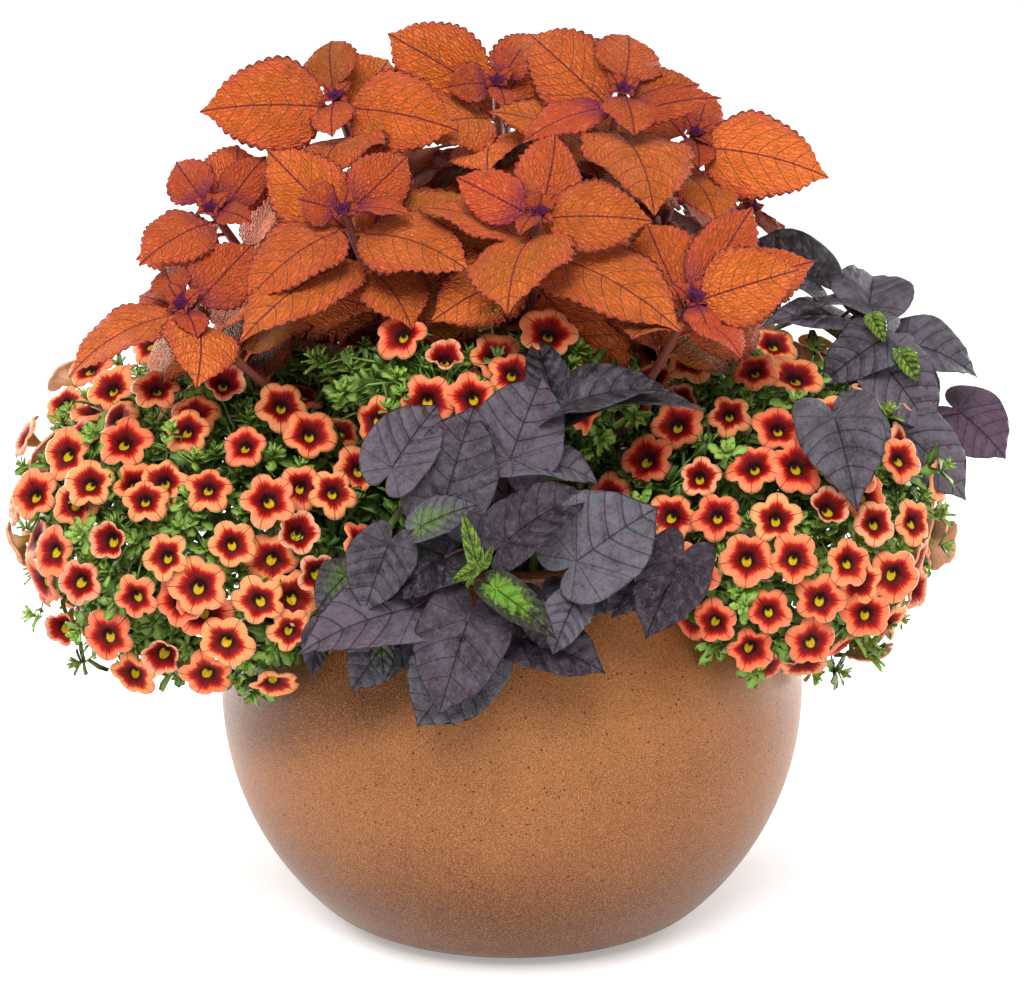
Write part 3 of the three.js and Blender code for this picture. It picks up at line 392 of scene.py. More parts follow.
# Outside: a curve that turns in to the foot, then a circle arc to the rim; a half-round rim; inside: the arc of
# the wall down to the floor.
def potProfile():
    radius, centre, wall = pot["radius"], pot["centreHeight"], pot["wall"]
    rimAngle = math.asin((pot["rim"] - wall / 2 - centre) / radius)
    outside = arc(radius, math.asin((pot["footTurn"] - centre) / radius), rimAngle, 60, [0, centre])
    inside = arc(radius - wall, rimAngle, math.asin((wall - centre) / (radius - wall)), 24, [0, centre])
    rim = arc(wall / 2, 0.15 * math.pi, 0.85 * math.pi, 7,
              [(radius - wall / 2) * math.cos(rimAngle), pot["rim"] - wall / 2])
    t = np.linspace(0, 0.92, 9)[:, None]
    start, bulge, end = np.array([pot["foot"], 0]), outside[0] + pot["footBulge"], outside[0]
    turn = (1 - t) ** 2 * start + 2 * t * (1 - t) * bulge + t * t * end
    return np.array([[2, 0], [60, 0], [pot["foot"] - 2, 0], *turn, *outside, *rim, *inside,
                     [60, wall], [2, wall]])


def makePot():
    piece = makePiece("glazed_pot", [closedSurfaces(turned(potProfile(), pot["sides"]))], [], "pot")
    cutters, reach = [], pot["holeRadius"]
    for i in range(pot["holes"]):
        drill = turned(np.array([[0.1, -20], [reach, -20], [reach, 40], [0.1, 40]]), 24)
        drill[..., placeAt] += pot["holeDistance"] * turnedWay(2 * math.pi * (i + 0.25) / pot["holes"],
                                                               rightward, np.array([0, 1, 0]))
        cutters.append(makePiece(f"drill_{i}", [closedSurfaces(drill)]))
        cut = piece.modifiers.new("drainHole", "BOOLEAN")
        cut.object, cut.operation, cut.solver = cutters[-1], "DIFFERENCE", "EXACT"
    graph = bpy.context.evaluated_depsgraph_get()
    drilled = bpy.data.meshes.new_from_object(piece.evaluated_get(graph))
    piece.modifiers.clear()
    piece.data = drilled
    drilled.materials.clear()
    drilled.materials.append(glaze())
    drilled.polygons.foreach_set("use_smooth", np.ones(len(drilled.polygons), bool))
    drilled.set_sharp_from_angle(angle=math.radians(pot["crease"]))
    for cutter in cutters:
        bpy.data.objects.remove(cutter)


# A low dome, radius by angle, roughened by three crossed sines, closed by a flat underside.
def makeSoil():
    reach = pot["radius"] - pot["wall"] - soil["clearance"]
    edge = math.sqrt(reach ** 2 - (soil["height"] - soil["rise"] - pot["centreHeight"]) ** 2)
    t = np.linspace(0, 1, soil["rings"])
    dome = np.stack([1 + (edge - 1) * t, soil["height"] + soil["crown"] - soil["fall"] * t ** 3], -1)
    channels = turned(np.array([*dome, [edge, soil["sideFoot"]], *soil["underside"]]), soil["sides"])
    x, y = channels[0, :len(t), :, 0], channels[0, :len(t), :, 1]
    rough = np.sin(x * 0.41 + 2 * np.sin(y * 0.23)) + np.sin(y * 0.37 + 1.7 * np.sin(x * 0.31)) \
        + 0.8 * np.sin((x + y) * 0.83)
    channels[0, :len(t), :, 2] += soil["rough"] * rough * (1 - smooth(0.9, 1, t))[:, None]
    makePiece("potting_soil", [closedSurfaces(channels)], [earth()], "soil")


makePot()
makeSoil()
print("pot and soil made")

stems = {"foot": 248, "coleus": 3.6, "vine": 2.9, "spray": 2.6, "bloomStalk": 0.75, "vineStalk": 1.25}


def bezier(corners, t):  # (1-t)^3 a + 3t(1-t)^2 b + 3t^2(1-t) c + t^3 d
    a, b, c, d = (np.asarray(corner, float) for corner in corners)
    t = np.asarray(t, float)[..., None]
    return (1 - t) ** 3 * a + 3 * t * (1 - t) ** 2 * b + 3 * t * t * (1 - t) * c + t ** 3 * d


def lengthAlong(line):  # how much of the line lies before each of its points
    return np.concatenate([[0], np.cumsum(np.linalg.norm(np.diff(line, axis=0), axis=1))])


def stationsOf(corners, steps):  # points on the curve with the same length of it between each two
    t = np.linspace(0, 1, 201)
    lengths = lengthAlong(bezier(corners, t))
    return bezier(corners, np.interp(np.linspace(0, 1, steps + 1) * lengths[-1], lengths, t))


# The point nearest to target on the line through the stations: on each stretch the foot of the perpendicular,
# held between its ends.
def nearestOnLine(stations, target):
    start, way = stations[:-1], np.diff(stations, axis=0)
    t = np.clip(((target - start) * way).sum(1) / (way * way).sum(1), 0, 1)
    points = start + way * t[:, None]
    distance = np.linalg.norm(points - target, axis=1)
    best = distance.argmin()
    return distance[best], points[best]


def onStem(stations, corners, t):
    return nearestOnLine(stations, bezier(corners, [t])[0])[1]


def alongLine(stations, t):  # the points at t, counted in stretches from the line's start
    return np.stack([np.interp(t, np.arange(len(stations)), stations[:, k]) for k in range(3)], -1)


def easedLine(stations, perStretch):  # the same line, its corners eased by three rounds of averaging
    line = alongLine(stations, np.linspace(0, len(stations) - 1, (len(stations) - 1) * perStretch + 1))
    for _ in range(3):
        line[1:-1] = (line[:-2] + 2 * line[1:-1] + line[2:]) / 4
    return line


def acrossFrame(way):  # two ways across a way, or across each of many
    helper = [0, 0, 1.0] if abs(way.flat[2]) < 0.9 else [1.0, 0, 0]
    across = unit(np.cross(way, helper))
    return across, np.cross(way, across)


# A round or ribbed tube: rings in planes across the line, of radius r(row) (1 + ridge cos 4a).
def tube(line, radius, sides, nature=(0.5, 0.5, 0.5), ridge=0.0):
    across, over = (part[:, None] for part in acrossFrame(unit(np.gradient(line, axis=0))))
    angle = fullTurn(sides)
    reach = np.broadcast_to(radius, len(line))[:, None] * (1 + ridge * np.cos(4 * angle))
    place = line[:, None] + reach[..., None] * turnedWay(angle, across, over)
    return closedSurfaces(carried((1, len(line), sides), place, (np.linspace(0, 1, len(line))[:, None],
                                                                 angle / (2 * math.pi)),
                                  np.moveaxis(place / 10, -1, 0), nature), 1)


def pointsOf(names):  # a KD tree of the nodes' vertices in millimetres
    found = []
    for name in names:
        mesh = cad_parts[name].data
        flat = np.zeros(len(mesh.vertices) * 3, np.float32)
        mesh.vertices.foreach_get("co", flat)
        found.append(flat.reshape(-1, 3) * 1000)
    points = np.unique(np.round(np.concatenate(found), 2), axis=0)
    tree = KDTree(len(points))
    for i, point in enumerate(points):
        tree.insert(point, i)
    tree.balance()
    return tree


def hits(tree, points, tolerance=0.08):  # how many of the points are vertices of the node
    return sum(tree.find(p)[2] < tolerance for p in points)


# Leaves lie as in the solids: the same marks are looked for among a node's vertices. A leaf is a curved sheet,
# root + along t L + side w + normal (arch L 4t(1-t) + fold |w| - cup w^2 / width + lift), turned by its bend.
def leafPoints(leaf, t, w, lift=0.0):
    way = leaf["tip"] - leaf["root"]
    length = np.linalg.norm(way)
    way = way / length
    side = unit(np.cross(way, leaf["facing"]))
    out = np.cross(side, way)
    c, s = math.cos(leaf["bend"]), math.sin(leaf["bend"])
    along, normal = way * c + out * s, out * c - way * s
    rise = leaf["arch"] * length * 4 * t * (1 - t) + leaf["fold"] * np.abs(w) \
        - leaf["cup"] * w * w / leaf["width"] + lift
    return leaf["root"] + (t * length)[..., None] * along + w[..., None] * side + rise[..., None] * normal


def bothSides(t, w):  # the marks of both halves and the tip
    return np.concatenate([t, t, [1.0]]), np.concatenate([w, -w, [0.0]])


def coleusMarks(leaf):
    teeth = min(3 if leaf["hidden"] else 4, math.floor(leaf["width"] / 14)) or 2
    share = np.arange(1, 2 * teeth)
    x = (share / (2 * teeth)) ** 1.15
    w = leaf["width"] * 1.36 * x ** 0.55 * (1 - x) ** 0.98 * np.where(share % 2 == 0, 0.9, 1.03)
    stalkEnd = min(0.2, coleus["stalk"] / np.linalg.norm(leaf["tip"] - leaf["root"]))
    return bothSides(stalkEnd + (1 - stalkEnd) * x, w)


def vineMarks(leaf):
    turn = np.array([2.62, 2.0, 1.35, 0.8, 0.35])
    side = np.exp(-((turn / 0.55) ** 2))
    reach = 0.46 + 0.54 * side + 0.06 * np.cos(2 * turn + 2.2) * (1 - side)
    return bothSides(reach * np.cos(turn), reach * np.sin(turn) * leaf["width"] / 1.02)


coleusMoves = [(0, bend) for bend in (0, 5, -5, 10, -10, 16, -16, 23, -23, 31)]
vineMoves = [(shift, bend) for shift in (0, 5, -5, 10, -10, 15, -15, 20)
             for bend in (0, 8, -8, 15, -15, 23, -23)]


# Each move (nearward in mm, bend in degrees) is tried, and the one that puts most marks on vertices is kept.
def settled(leaf, marks, moves, tree):
    t, w = marks(leaf)
    best = (0, {**leaf, "bend": 0.0})
    for shift, bend in moves:
        change = nearward * shift
        tried = {**leaf, "root": leaf["root"] + change, "tip": leaf["tip"] + change, "bend": math.radians(bend)}
        count = hits(tree, leafPoints(tried, t, w))
        if count > best[0]:
            best = (count, tried)
    return best


def lookFacing(lay, outward):
    return unit(turnedWay(math.radians(lay), nearward, upward) + 0.35 * np.asarray(outward))


# A shown leaf is [right, up and near of its tip from the shoot's apex, width, lay, how far down its root is].
coleus = {
    "form": {"arch": 0.1, "fold": 0.1, "cup": 0.3}, "sideVeins": 7.5, "scallop": 5.6, "coarseScallop": 8,
    "scallops": (5, 17), "thickness": 0.35, "stalk": 9, "stalkWidth": 1.3,
    "shoots": [
        {"foot": [-38, 12], "apex": [-116, -20, 569], "leaves": [
            [-89, -7, 8, 66, 12, 6], [80, -20, 18, 62, 12, 6], [-5, 44, -26, 40, 20, 0],
            [-1, -27, 30, 32, 30, 0], [-8, -60, 58, 74, 35, 26], [34, 34, -50, 58, 20, 18]]},
        {"foot": [-66, -12], "apex": [-195, -70, 504], "leaves": [
            [-26, 35, -18, 34, 20, 0], [27, -8, 16, 24, 30, 0], [34, 40, -26, 30, 40, 8],
            [14, 50, -48, 46, 25, 16], [-44, -36, 36, 46, 15, 10], [-52, -30, -22, 44, 20, 22]]},
        {"foot": [-62, -48], "apex": [-211, -120, 451], "leaves": [
            [-72, -41, 22, 46, 45, 8], [-14, 28, -18, 30, 20, 0], [11, -21, 22, 24, 30, 0],
            [43, 42, -24, 44, 20, 8], [14, -50, 48, 52, 20, 20], [-32, 10, -34, 34, 40, 20]]},
        {"foot": [-32, -44], "apex": [-108, -110, 511], "leaves": [
            [-28, 8, 8, 30, 10, 0], [42, 39, -22, 42, 15, 4], [45, -4, 14, 28, 60, 0],
            [-60, -58, 38, 54, 25, 14], [82, -36, 30, 60, 32, 20], [-48, 40, -44, 52, 20, 24],
            [-62, -84, 62, 56, 20, 44], [45, -72, 20, 56, 20, 52]]},
        {"foot": [6, -52], "apex": [16, -130, 513], "leaves": [
            [-52, 25, -10, 36, 15, 4], [73, -5, 14, 50, 15, 4], [3, 14, 2, 22, 5, 0],
            [-12, -13, 20, 16, 30, 0], [-20, -62, 66, 72, 25, 18], [12, 56, -42, 46, 25, 12],
            [90, -76, 44, 66, 25, 34], [-78, 0, -20, 44, 65, 30]]},
        {"foot": [26, -4], "apex": [72, -40, 577], "leaves": [
            [5, 42, -24, 50, 10, 0], [7, -31, 26, 40, 25, 0], [-66, -34, 20, 38, 40, 10],
            [-62, 44, -34, 56, 15, 14], [52, 8, -20, 38, 30, 12], [21, -78, 54, 78, 30, 24],
            [62, -4, 22, 28, 25, 20]]},
        {"foot": [40, -46], "apex": [114, -160, 464], "leaves": [
            [66, 19, 12, 52, 10, 4], [10, -25, 20, 26, 30, 0], [-28, 52, -36, 54, 30, 16],
            [40, 62, -34, 42, 40, 10], [80, 28, -30, 48, 30, 20], [30, -30, 40, 36, 55, 24],
            [-40, -26, 34, 44, 45, 34]]},
        {"foot": [-6, 22], "apex": [-10, 10, 574], "leaves": [
            [-34, -2, 8, 32, 20, 0], [16, 26, -14, 26, 20, 0], [6, -18, 20, 20, 35, 0],
            [-74, 38, -28, 56, 10, 8], [-58, -36, 30, 62, 25, 22], [34, 40, -44, 50, 20, 14],
            [-6, -62, 52, 64, 30, 34]]},
        {"foot": [58, 18], "apex": [122, 20, 538], "leaves": [
            [90, -26, 10, 64, 15, 8], [-30, 30, -30, 44, 25, 6], [10, 32, -20, 30, 25, 0],
            [2, -24, 24, 26, 35, 0], [40, 6, -62, 54, 30, 16], [14, -58, 44, 58, 35, 28]]},
        {"foot": [-80, 24], "apex": [-182, 44, 500], "turn": 20},
        {"foot": [-44, 58], "apex": [-98, 122, 508], "turn": 65},
        {"foot": [0, 66], "apex": [-4, 140, 530], "turn": 10},
        {"foot": [44, 56], "apex": [92, 118, 512], "turn": 50},
        {"foot": [72, 44], "apex": [166, 104, 470], "turn": 80},
        {"foot": [22, 86], "apex": [42, 212, 432], "turn": 30},
        {"foot": [-34, 88], "apex": [-66, 210, 426], "turn": 75},
    ],
    # reach, width, drop and rise of the pairs that follow a rule
    "innerPairs": [[88, 64, 62, -0.2]], "innerLeafHeight": 512,
    "ruledPairs": [[34, 24, 0, 0.35], [74, 52, 8, -0.05], [92, 64, 30, -0.35]],
    # drop, reach, width and rise of each lower leaf
    "lowerLeaves": [(46, 82, 60, -0.1), (46, 82, 60, -0.1), (74, 92, 64, -0.25), (74, 88, 62, -0.25),
                    (74, 88, 62, -0.3), (102, 84, 60, -0.35), (102, 84, 60, -0.35), (102, 80, 58, -0.4),
                    (132, 78, 54, -0.4), (132, 78, 54, -0.45)],
    "lowestRoot": 335, "lowestTip": 318, "lowestFront": ([-170, -140, 90, 120], [356, 390, 390, 372]),
    "farthestOut": 315, "leastRoom": 7, "turnsTried": 14,
    "rosetteReach": (17, 13, 10, 8), "rosetteForm": {"arch": 0.1, "fold": 0.45, "cup": 0.2},
}


def coleusLeafPaint():
    material, tree = newMaterial("coleusLeaf", Roughness=0.55, Specular_IOR_Level=0.22, Sheen_Weight=0.06,
                                 Sheen_Roughness=0.4, Sheen_Tint=paint(255, 190, 180))
    place = field(tree, "leafPlace")
    _, inside, seed = parts(place)
    warm, red, shade = parts(field(tree, "nature"))
    x, u = uvParts(tree)
    edge = abs(u * 2.0 - 1.0)
    wander = noise(place, 3.0, 3) - 0.5
    rib = field(tree, "ribPlace", "Fac") + wander * 0.14
    offRib = abs(calc("FRACT", rib) - 0.5)  # 0.5 on a side vein
    sideVein = band(offRib, 0.455, 0.495)
    net = cells(combine(rib * 1.7, (inside + wander * 0.35) * 4.0, seed), 1.0)  # the small veins
    patch = noise(place, 0.5, 4)
    blur = noise(place, 1.8, 4, 0.6)
    tone = warm + (patch - 0.5) * 1.5
    colour = layered(
        blend(band(tone, 0.0, 0.55), (190, 114, 20), (226, 110, 30)),
        (band(tone, 0.45, 1.0), (255, 128, 54)),
        (red * 0.8, (220, 76, 48)),
        (band(edge + patch * 0.6, 0.85, 1.25, 0, 0.6), (230, 92, 66)),
        (band(blur, 0.52, 0.72, 0, 0.35), (252, 150, 86)),
        (band(blur, 0.46, 0.28, 0, 0.35), (150, 72, 14)),
        (band(net, 0.12, 0.0, 0, 0.5), (128, 46, 18)),
        # painted highlight: lighter ridges beside the side veins
        (band(offRib, 0.36, 0.45) * 0.25, (246, 140, 78)),
        (sideVein * 0.6, (116, 40, 18)),
        (red * red * band(x, 0.4, 0.0, 0, 0.8), (116, 24, 88)),
        (band(red, 1.1, 1.4), (106, 28, 108)),
        (band(abs(inside), 0.085, 0.035) * 0.9, (112, 26, 54)),
        (band(edge, 0.93, 1.0, 0, 0.7), (206, 84, 84)),
        # painted shade: leaves low in the dome, and some at random, darkened olive-brown
        (shade, (110, 54, 12)))
    height = band(net, 0.0, 0.35) + band(cells(place, 9), 0.0, 0.4) * 0.35 - sideVein * 0.9
    return dress(material, colour, height, 0.0014)


def coleusStemPaint():
    material, tree = newMaterial("coleusStem", Roughness=0.5)
    grain = noise(stretch(field(tree, "leafPlace"), (6, 6, 1)), 2.0, 4)
    return dress(material, blend(grain, (96, 34, 52), (158, 84, 58)), grain, 0.0006)


# Half width of a coleus leaf of width 1: 1.4 x^0.58 (1-x)^0.95, drawn in near the tip.
def coleusHalfWidth(x):
    return 1.4 * x ** 0.58 * (1 - x) ** 0.95 * (1 - 0.42 * smooth(0.8, 0.97, x))


# One coleus leaf: rings across it from stalk to tip, each going over the upper face and back under the lower.
# The edge carries |sin| scallops of equal length; side veins leave the midrib and curve forward.
# Height: the solid's arch, fold and cup, less grooves along the side veins, plus a droop and a waved edge.
def coleusLeaf(leaf, seed, nature, fine=True):
    length, width = np.linalg.norm(leaf["tip"] - leaf["root"]), leaf["width"]
    stalkEnd = min(0.2, coleus["stalk"] / length) if width > 18 else 0.06
    xs = np.linspace(0, 1, 400)
    edge = lengthAlong(np.stack([xs * length * (1 - stalkEnd), width * coleusHalfWidth(xs)], -1))
    spacing = coleus["scallop" if fine else "coarseScallop"]
    scallops = int(np.clip(round(edge[-1] / spacing), *coleus["scallops"]))
    p = np.linspace(0, 1, (4 if fine else 3) * scallops + 1)[1:-1]
    p = np.append(p, 1 - 0.2 / len(p))
    x = np.interp(p * edge[-1], edge, xs)
    fade = np.clip(np.minimum(p * 9, (1 - p) * 7), 0, 1)
    depth = 0.7 + 0.024 * width
    half = width * coleusHalfWidth(x) + depth * fade * (np.abs(np.sin(math.pi * scallops * p)) - 0.55)
    half = np.concatenate([np.full(3, coleus["stalkWidth"]), np.maximum(half, 0.3)])[:, None]
    t = np.concatenate([[-2 / length, 0.35 * stalkEnd, 0.8 * stalkEnd], stalkEnd + (1 - stalkEnd) * x])[:, None]
    x = np.concatenate([np.zeros(3), x])[:, None]
    thin = smooth(0, 0.04, x)
    u = np.array([0.16, 0.38, 0.62, 0.86, 1] if fine else [0.6, 1])
    u = np.concatenate([-u[::-1], [0], u, u[-2::-1], [0], -u[:-1]])
    face = np.concatenate([[0], np.ones(len(u) // 2 - 1), [0], -np.ones(len(u) // 2 - 1)])
    w = half * u
    x, t = x + 0 * w, t + 0 * w
    v = np.abs(w) / (0.5 * width)
    rib = coleus["sideVeins"] * (x ** 0.9 - 0.16 * v - 0.22 * v * v) + 0.5
    groove = -1.1 * width / 80 * (0.5 - 0.5 * np.cos(2 * math.pi * rib)) ** 3 * thin * smooth(0.02, 0.15, v)
    droop = -length * (0.10 * chance(seed, 21) - 0.01) * x ** 3
    wave = width * 0.045 * v ** 2 * np.sin(2 * math.pi * (1.9 * x + chance(seed, 22)) + 2 * (w > 0))
    valley = (0.02 + 0.14 * chance(seed, 24)) * np.abs(w) - width * 0.07 * chance(seed, 23) * v ** 2
    ridge = np.exp(-((w / 1.5) ** 2)) * (1 - 0.6 * x) * thin
    thick = coleus["thickness"] + np.where(face > 0, -0.5, 0.9) * ridge
    thick = np.where(thin < 0.5, 1.2 * np.sqrt(np.maximum(1 - u ** 2, 0)), thick)
    lift = groove + droop + wave + valley + face * thick
    return closedSurfaces(carried((1, *w.shape), leafPoints(leaf, t, w, lift), (x, 0.5 + 0.5 * u),
                                  (x * length / 10, w / 10, seed * 1.7 + 0.2 * (face < 0)), nature, rib))


def outwardOf(shoot):
    return unit([*shoot["apex"][:2], 0])


def coleusAxis(apex):
    return unit([apex[0] * 0.0022, apex[1] * 0.0022 - 0.18, 0.9])


def coleusCorners(shoot):
    bottom, apex = np.array([*shoot["foot"], stems["foot"]], float), np.array(shoot["apex"], float)
    rise = apex[2] - bottom[2]
    return bottom, bottom + [0, 0, rise * 0.4], apex - coleusAxis(apex) * rise * 0.35, apex


def leanFrame(shoot, push):  # the way a shoot's leaves lean, and two ways across it
    lean = unit(coleusAxis(shoot["apex"]) + push)
    across = unit(np.cross(lean, [0, 0, 1]))
    return lean, across, np.cross(across, lean)


def coleusLeafOf(shoot, stations, drop, width, facing, tip=None, way=None, hidden=True):
    root = onStem(stations, coleusCorners(shoot), 1 - drop / 300)
    return {"root": root, "tip": root + way if tip is None else tip, "width": width, "facing": facing,
            "hidden": hidden, "drop": drop, "bend": 0.0, **coleus["form"]}


def shownLeaf(shoot, stations, row):
    right, up, near, width, lay, drop = row
    return coleusLeafOf(shoot, stations, drop, width, lookFacing(lay, unit([right, 0, 0])),
                        tip=np.array(shoot["apex"]) + seenPoint(right, up, near), hidden=False)


def ruledLeaves(shoot, stations, index, pairs, turn):
    lean, across, over = leanFrame(shoot, 0.75 * outwardOf(shoot))
    leaves = []
    for number, (reach, width, drop, rise) in enumerate(pairs):
        for half in (0, 1):
            angle = math.radians(turn) + (number + 2 * half) * math.pi / 2 \
                + 0.3 * (chance(index, number * 2 + half) - 0.5)
            size = 0.9 + 0.2 * chance(index, 10 + number * 2 + half)
            way = unit(turnedWay(angle, across, over) + lean * rise) * reach * size
            leaves.append(coleusLeafOf(shoot, stations, drop, width * size, lean, way=way))
    return leaves


def rosette(shoot, index):  # tiny folded leaves round the tip of a shoot, in crossed pairs
    lean, across, over = leanFrame(shoot, 0.6 * nearward)
    patches = []
    for k in range(8):
        angle = k * math.pi / 2 + (k // 4) * 0.8 + chance(index, 50) * 3
        reach = coleus["rosetteReach"][k // 2] * (0.85 + 0.3 * chance(index, 51 + k))
        way = unit(turnedWay(angle, across, over) + lean * (0.35 + 0.3 * (k // 2)))
        leaf = {"root": shoot["apex"] - coleusAxis(shoot["apex"]), "tip": shoot["apex"] + way * reach,
                "width": reach * 0.7, "facing": lean, "bend": 0.0, **coleus["rosetteForm"]}
        patches.append(coleusLeaf(leaf, index * 31 + k, (0.5, 0.95 + 0.2 * (k // 2), 0.0), False))
    return patches


def centrePoints(leaf):
    t = np.array([0.3, 0.55, 0.8, 1.0, 0.4, 0.4, 0.7, 0.7])
    return leafPoints(leaf, t, np.array([0, 0, 0, 0, 0.35, -0.35, 0.2, -0.2]) * leaf["width"])


def hangsLow(points):
    front = points[points[:, 1] < 20]
    return points[:, 2].min() < coleus["lowestTip"] or np.abs(points[:, :2]).max() > coleus["farthestOut"] \
        or (front @ upward < np.interp(front[:, 0], *coleus["lowestFront"])).any()


# Lower leaves that close the gaps: each takes the turn, of several, that leaves it most room among those grown.
def lowerLeaves(shoot, stations, index, grown):
    lean, across, over = leanFrame(shoot, 0.55 * outwardOf(shoot))
    leaves = []
    for number, (drop, reach, width, rise) in enumerate(coleus["lowerLeaves"]):
        if onStem(stations, coleusCorners(shoot), 1 - drop / 300)[2] < coleus["lowestRoot"]:
            continue
        best = (coleus["leastRoom"], None)
        size = 0.85 + 0.3 * chance(index, 80 + number)
        for turn in fullTurn(coleus["turnsTried"]) + chance(index, 70 + number):
            way = unit(turnedWay(turn, across, over) + lean * rise) * reach * size
            leaf = coleusLeafOf(shoot, stations, drop, width * size, lean, way=way)
            points = centrePoints(leaf)
            if hangsLow(points):
                continue
            room = min(np.linalg.norm(points[:, None] - other[None], axis=2).min() for other in grown)
            if room > best[0]:
                best = (room, leaf)
        if best[1] is not None:
            leaves.append(best[1])
            grown.append(centrePoints(best[1]))
    return leaves


def leafNature(leaf, seed):  # how orange, how red and how shaded a leaf is
    # The first number falls and the third rises for leaves low on the shoot: painted shade, less orange and
    # darker olive-brown low in the dome. The third also rises on some leaves at random.
    big = smooth(28, 60, leaf["width"])
    lower = smooth(20, 90, leaf["drop"])
    return (0.35 + 0.5 * big - 0.45 * lower + 0.9 * (chance(seed, 5) - 0.55),
            np.clip(0.95 - 0.9 * big + 0.6 * (chance(seed, 6) - 0.45), 0, 1),
            0.3 * lower + 0.45 * max(0, chance(seed, 7) - 0.45))


def growColeus():
    skins = [coleusLeafPaint(), coleusStemPaint()]
    shoots, grown, lost, extra = [], [], 0, 0
    for index, shoot in enumerate(coleus["shoots"]):
        stations = stationsOf(coleusCorners(shoot), 4)
        tree = pointsOf([f"coleus_shoot_{index + 1}"])
        if "leaves" in shoot:
            leaves = [shownLeaf(shoot, stations, row) for row in shoot["leaves"]]
            if shoot["apex"][2] > coleus["innerLeafHeight"]:
                leaves += ruledLeaves(shoot, stations, index, coleus["innerPairs"], 20 + 35 * (index % 3))
        else:
            leaves = ruledLeaves(shoot, stations, index, coleus["ruledPairs"], shoot["turn"])
        found = [settled(leaf, coleusMarks, coleusMoves, tree) for leaf in leaves]
        lost += sum(count == 0 for count, _ in found)
        leaves = [leaf for _, leaf in found]
        grown += [centrePoints(leaf) for leaf in leaves]
        shoots.append((shoot, stations, leaves))
    for index, (shoot, stations, leaves) in enumerate(shoots):
        more = lowerLeaves(shoot, stations, index, grown)
        extra += len(more)
        line = easedLine(stations, 8)
        patches = [tube(line, stems["coleus"] * np.linspace(1.1, 0.75, len(line)), 12, ridge=0.12)]
        for seed, leaf in enumerate(leaves + more, index * 17):
            patches.append(coleusLeaf(leaf, seed, leafNature(leaf, seed), not leaf["hidden"]))
        patches += rosette(shoot, index)
        makePiece(f"leafy_coleus_shoot_{index + 1}", patches, skins, f"coleus_shoot_{index + 1}")
    print("coleus leaves not found:", lost, "lower leaves:", extra)


growColeus()
print("coleus grown")

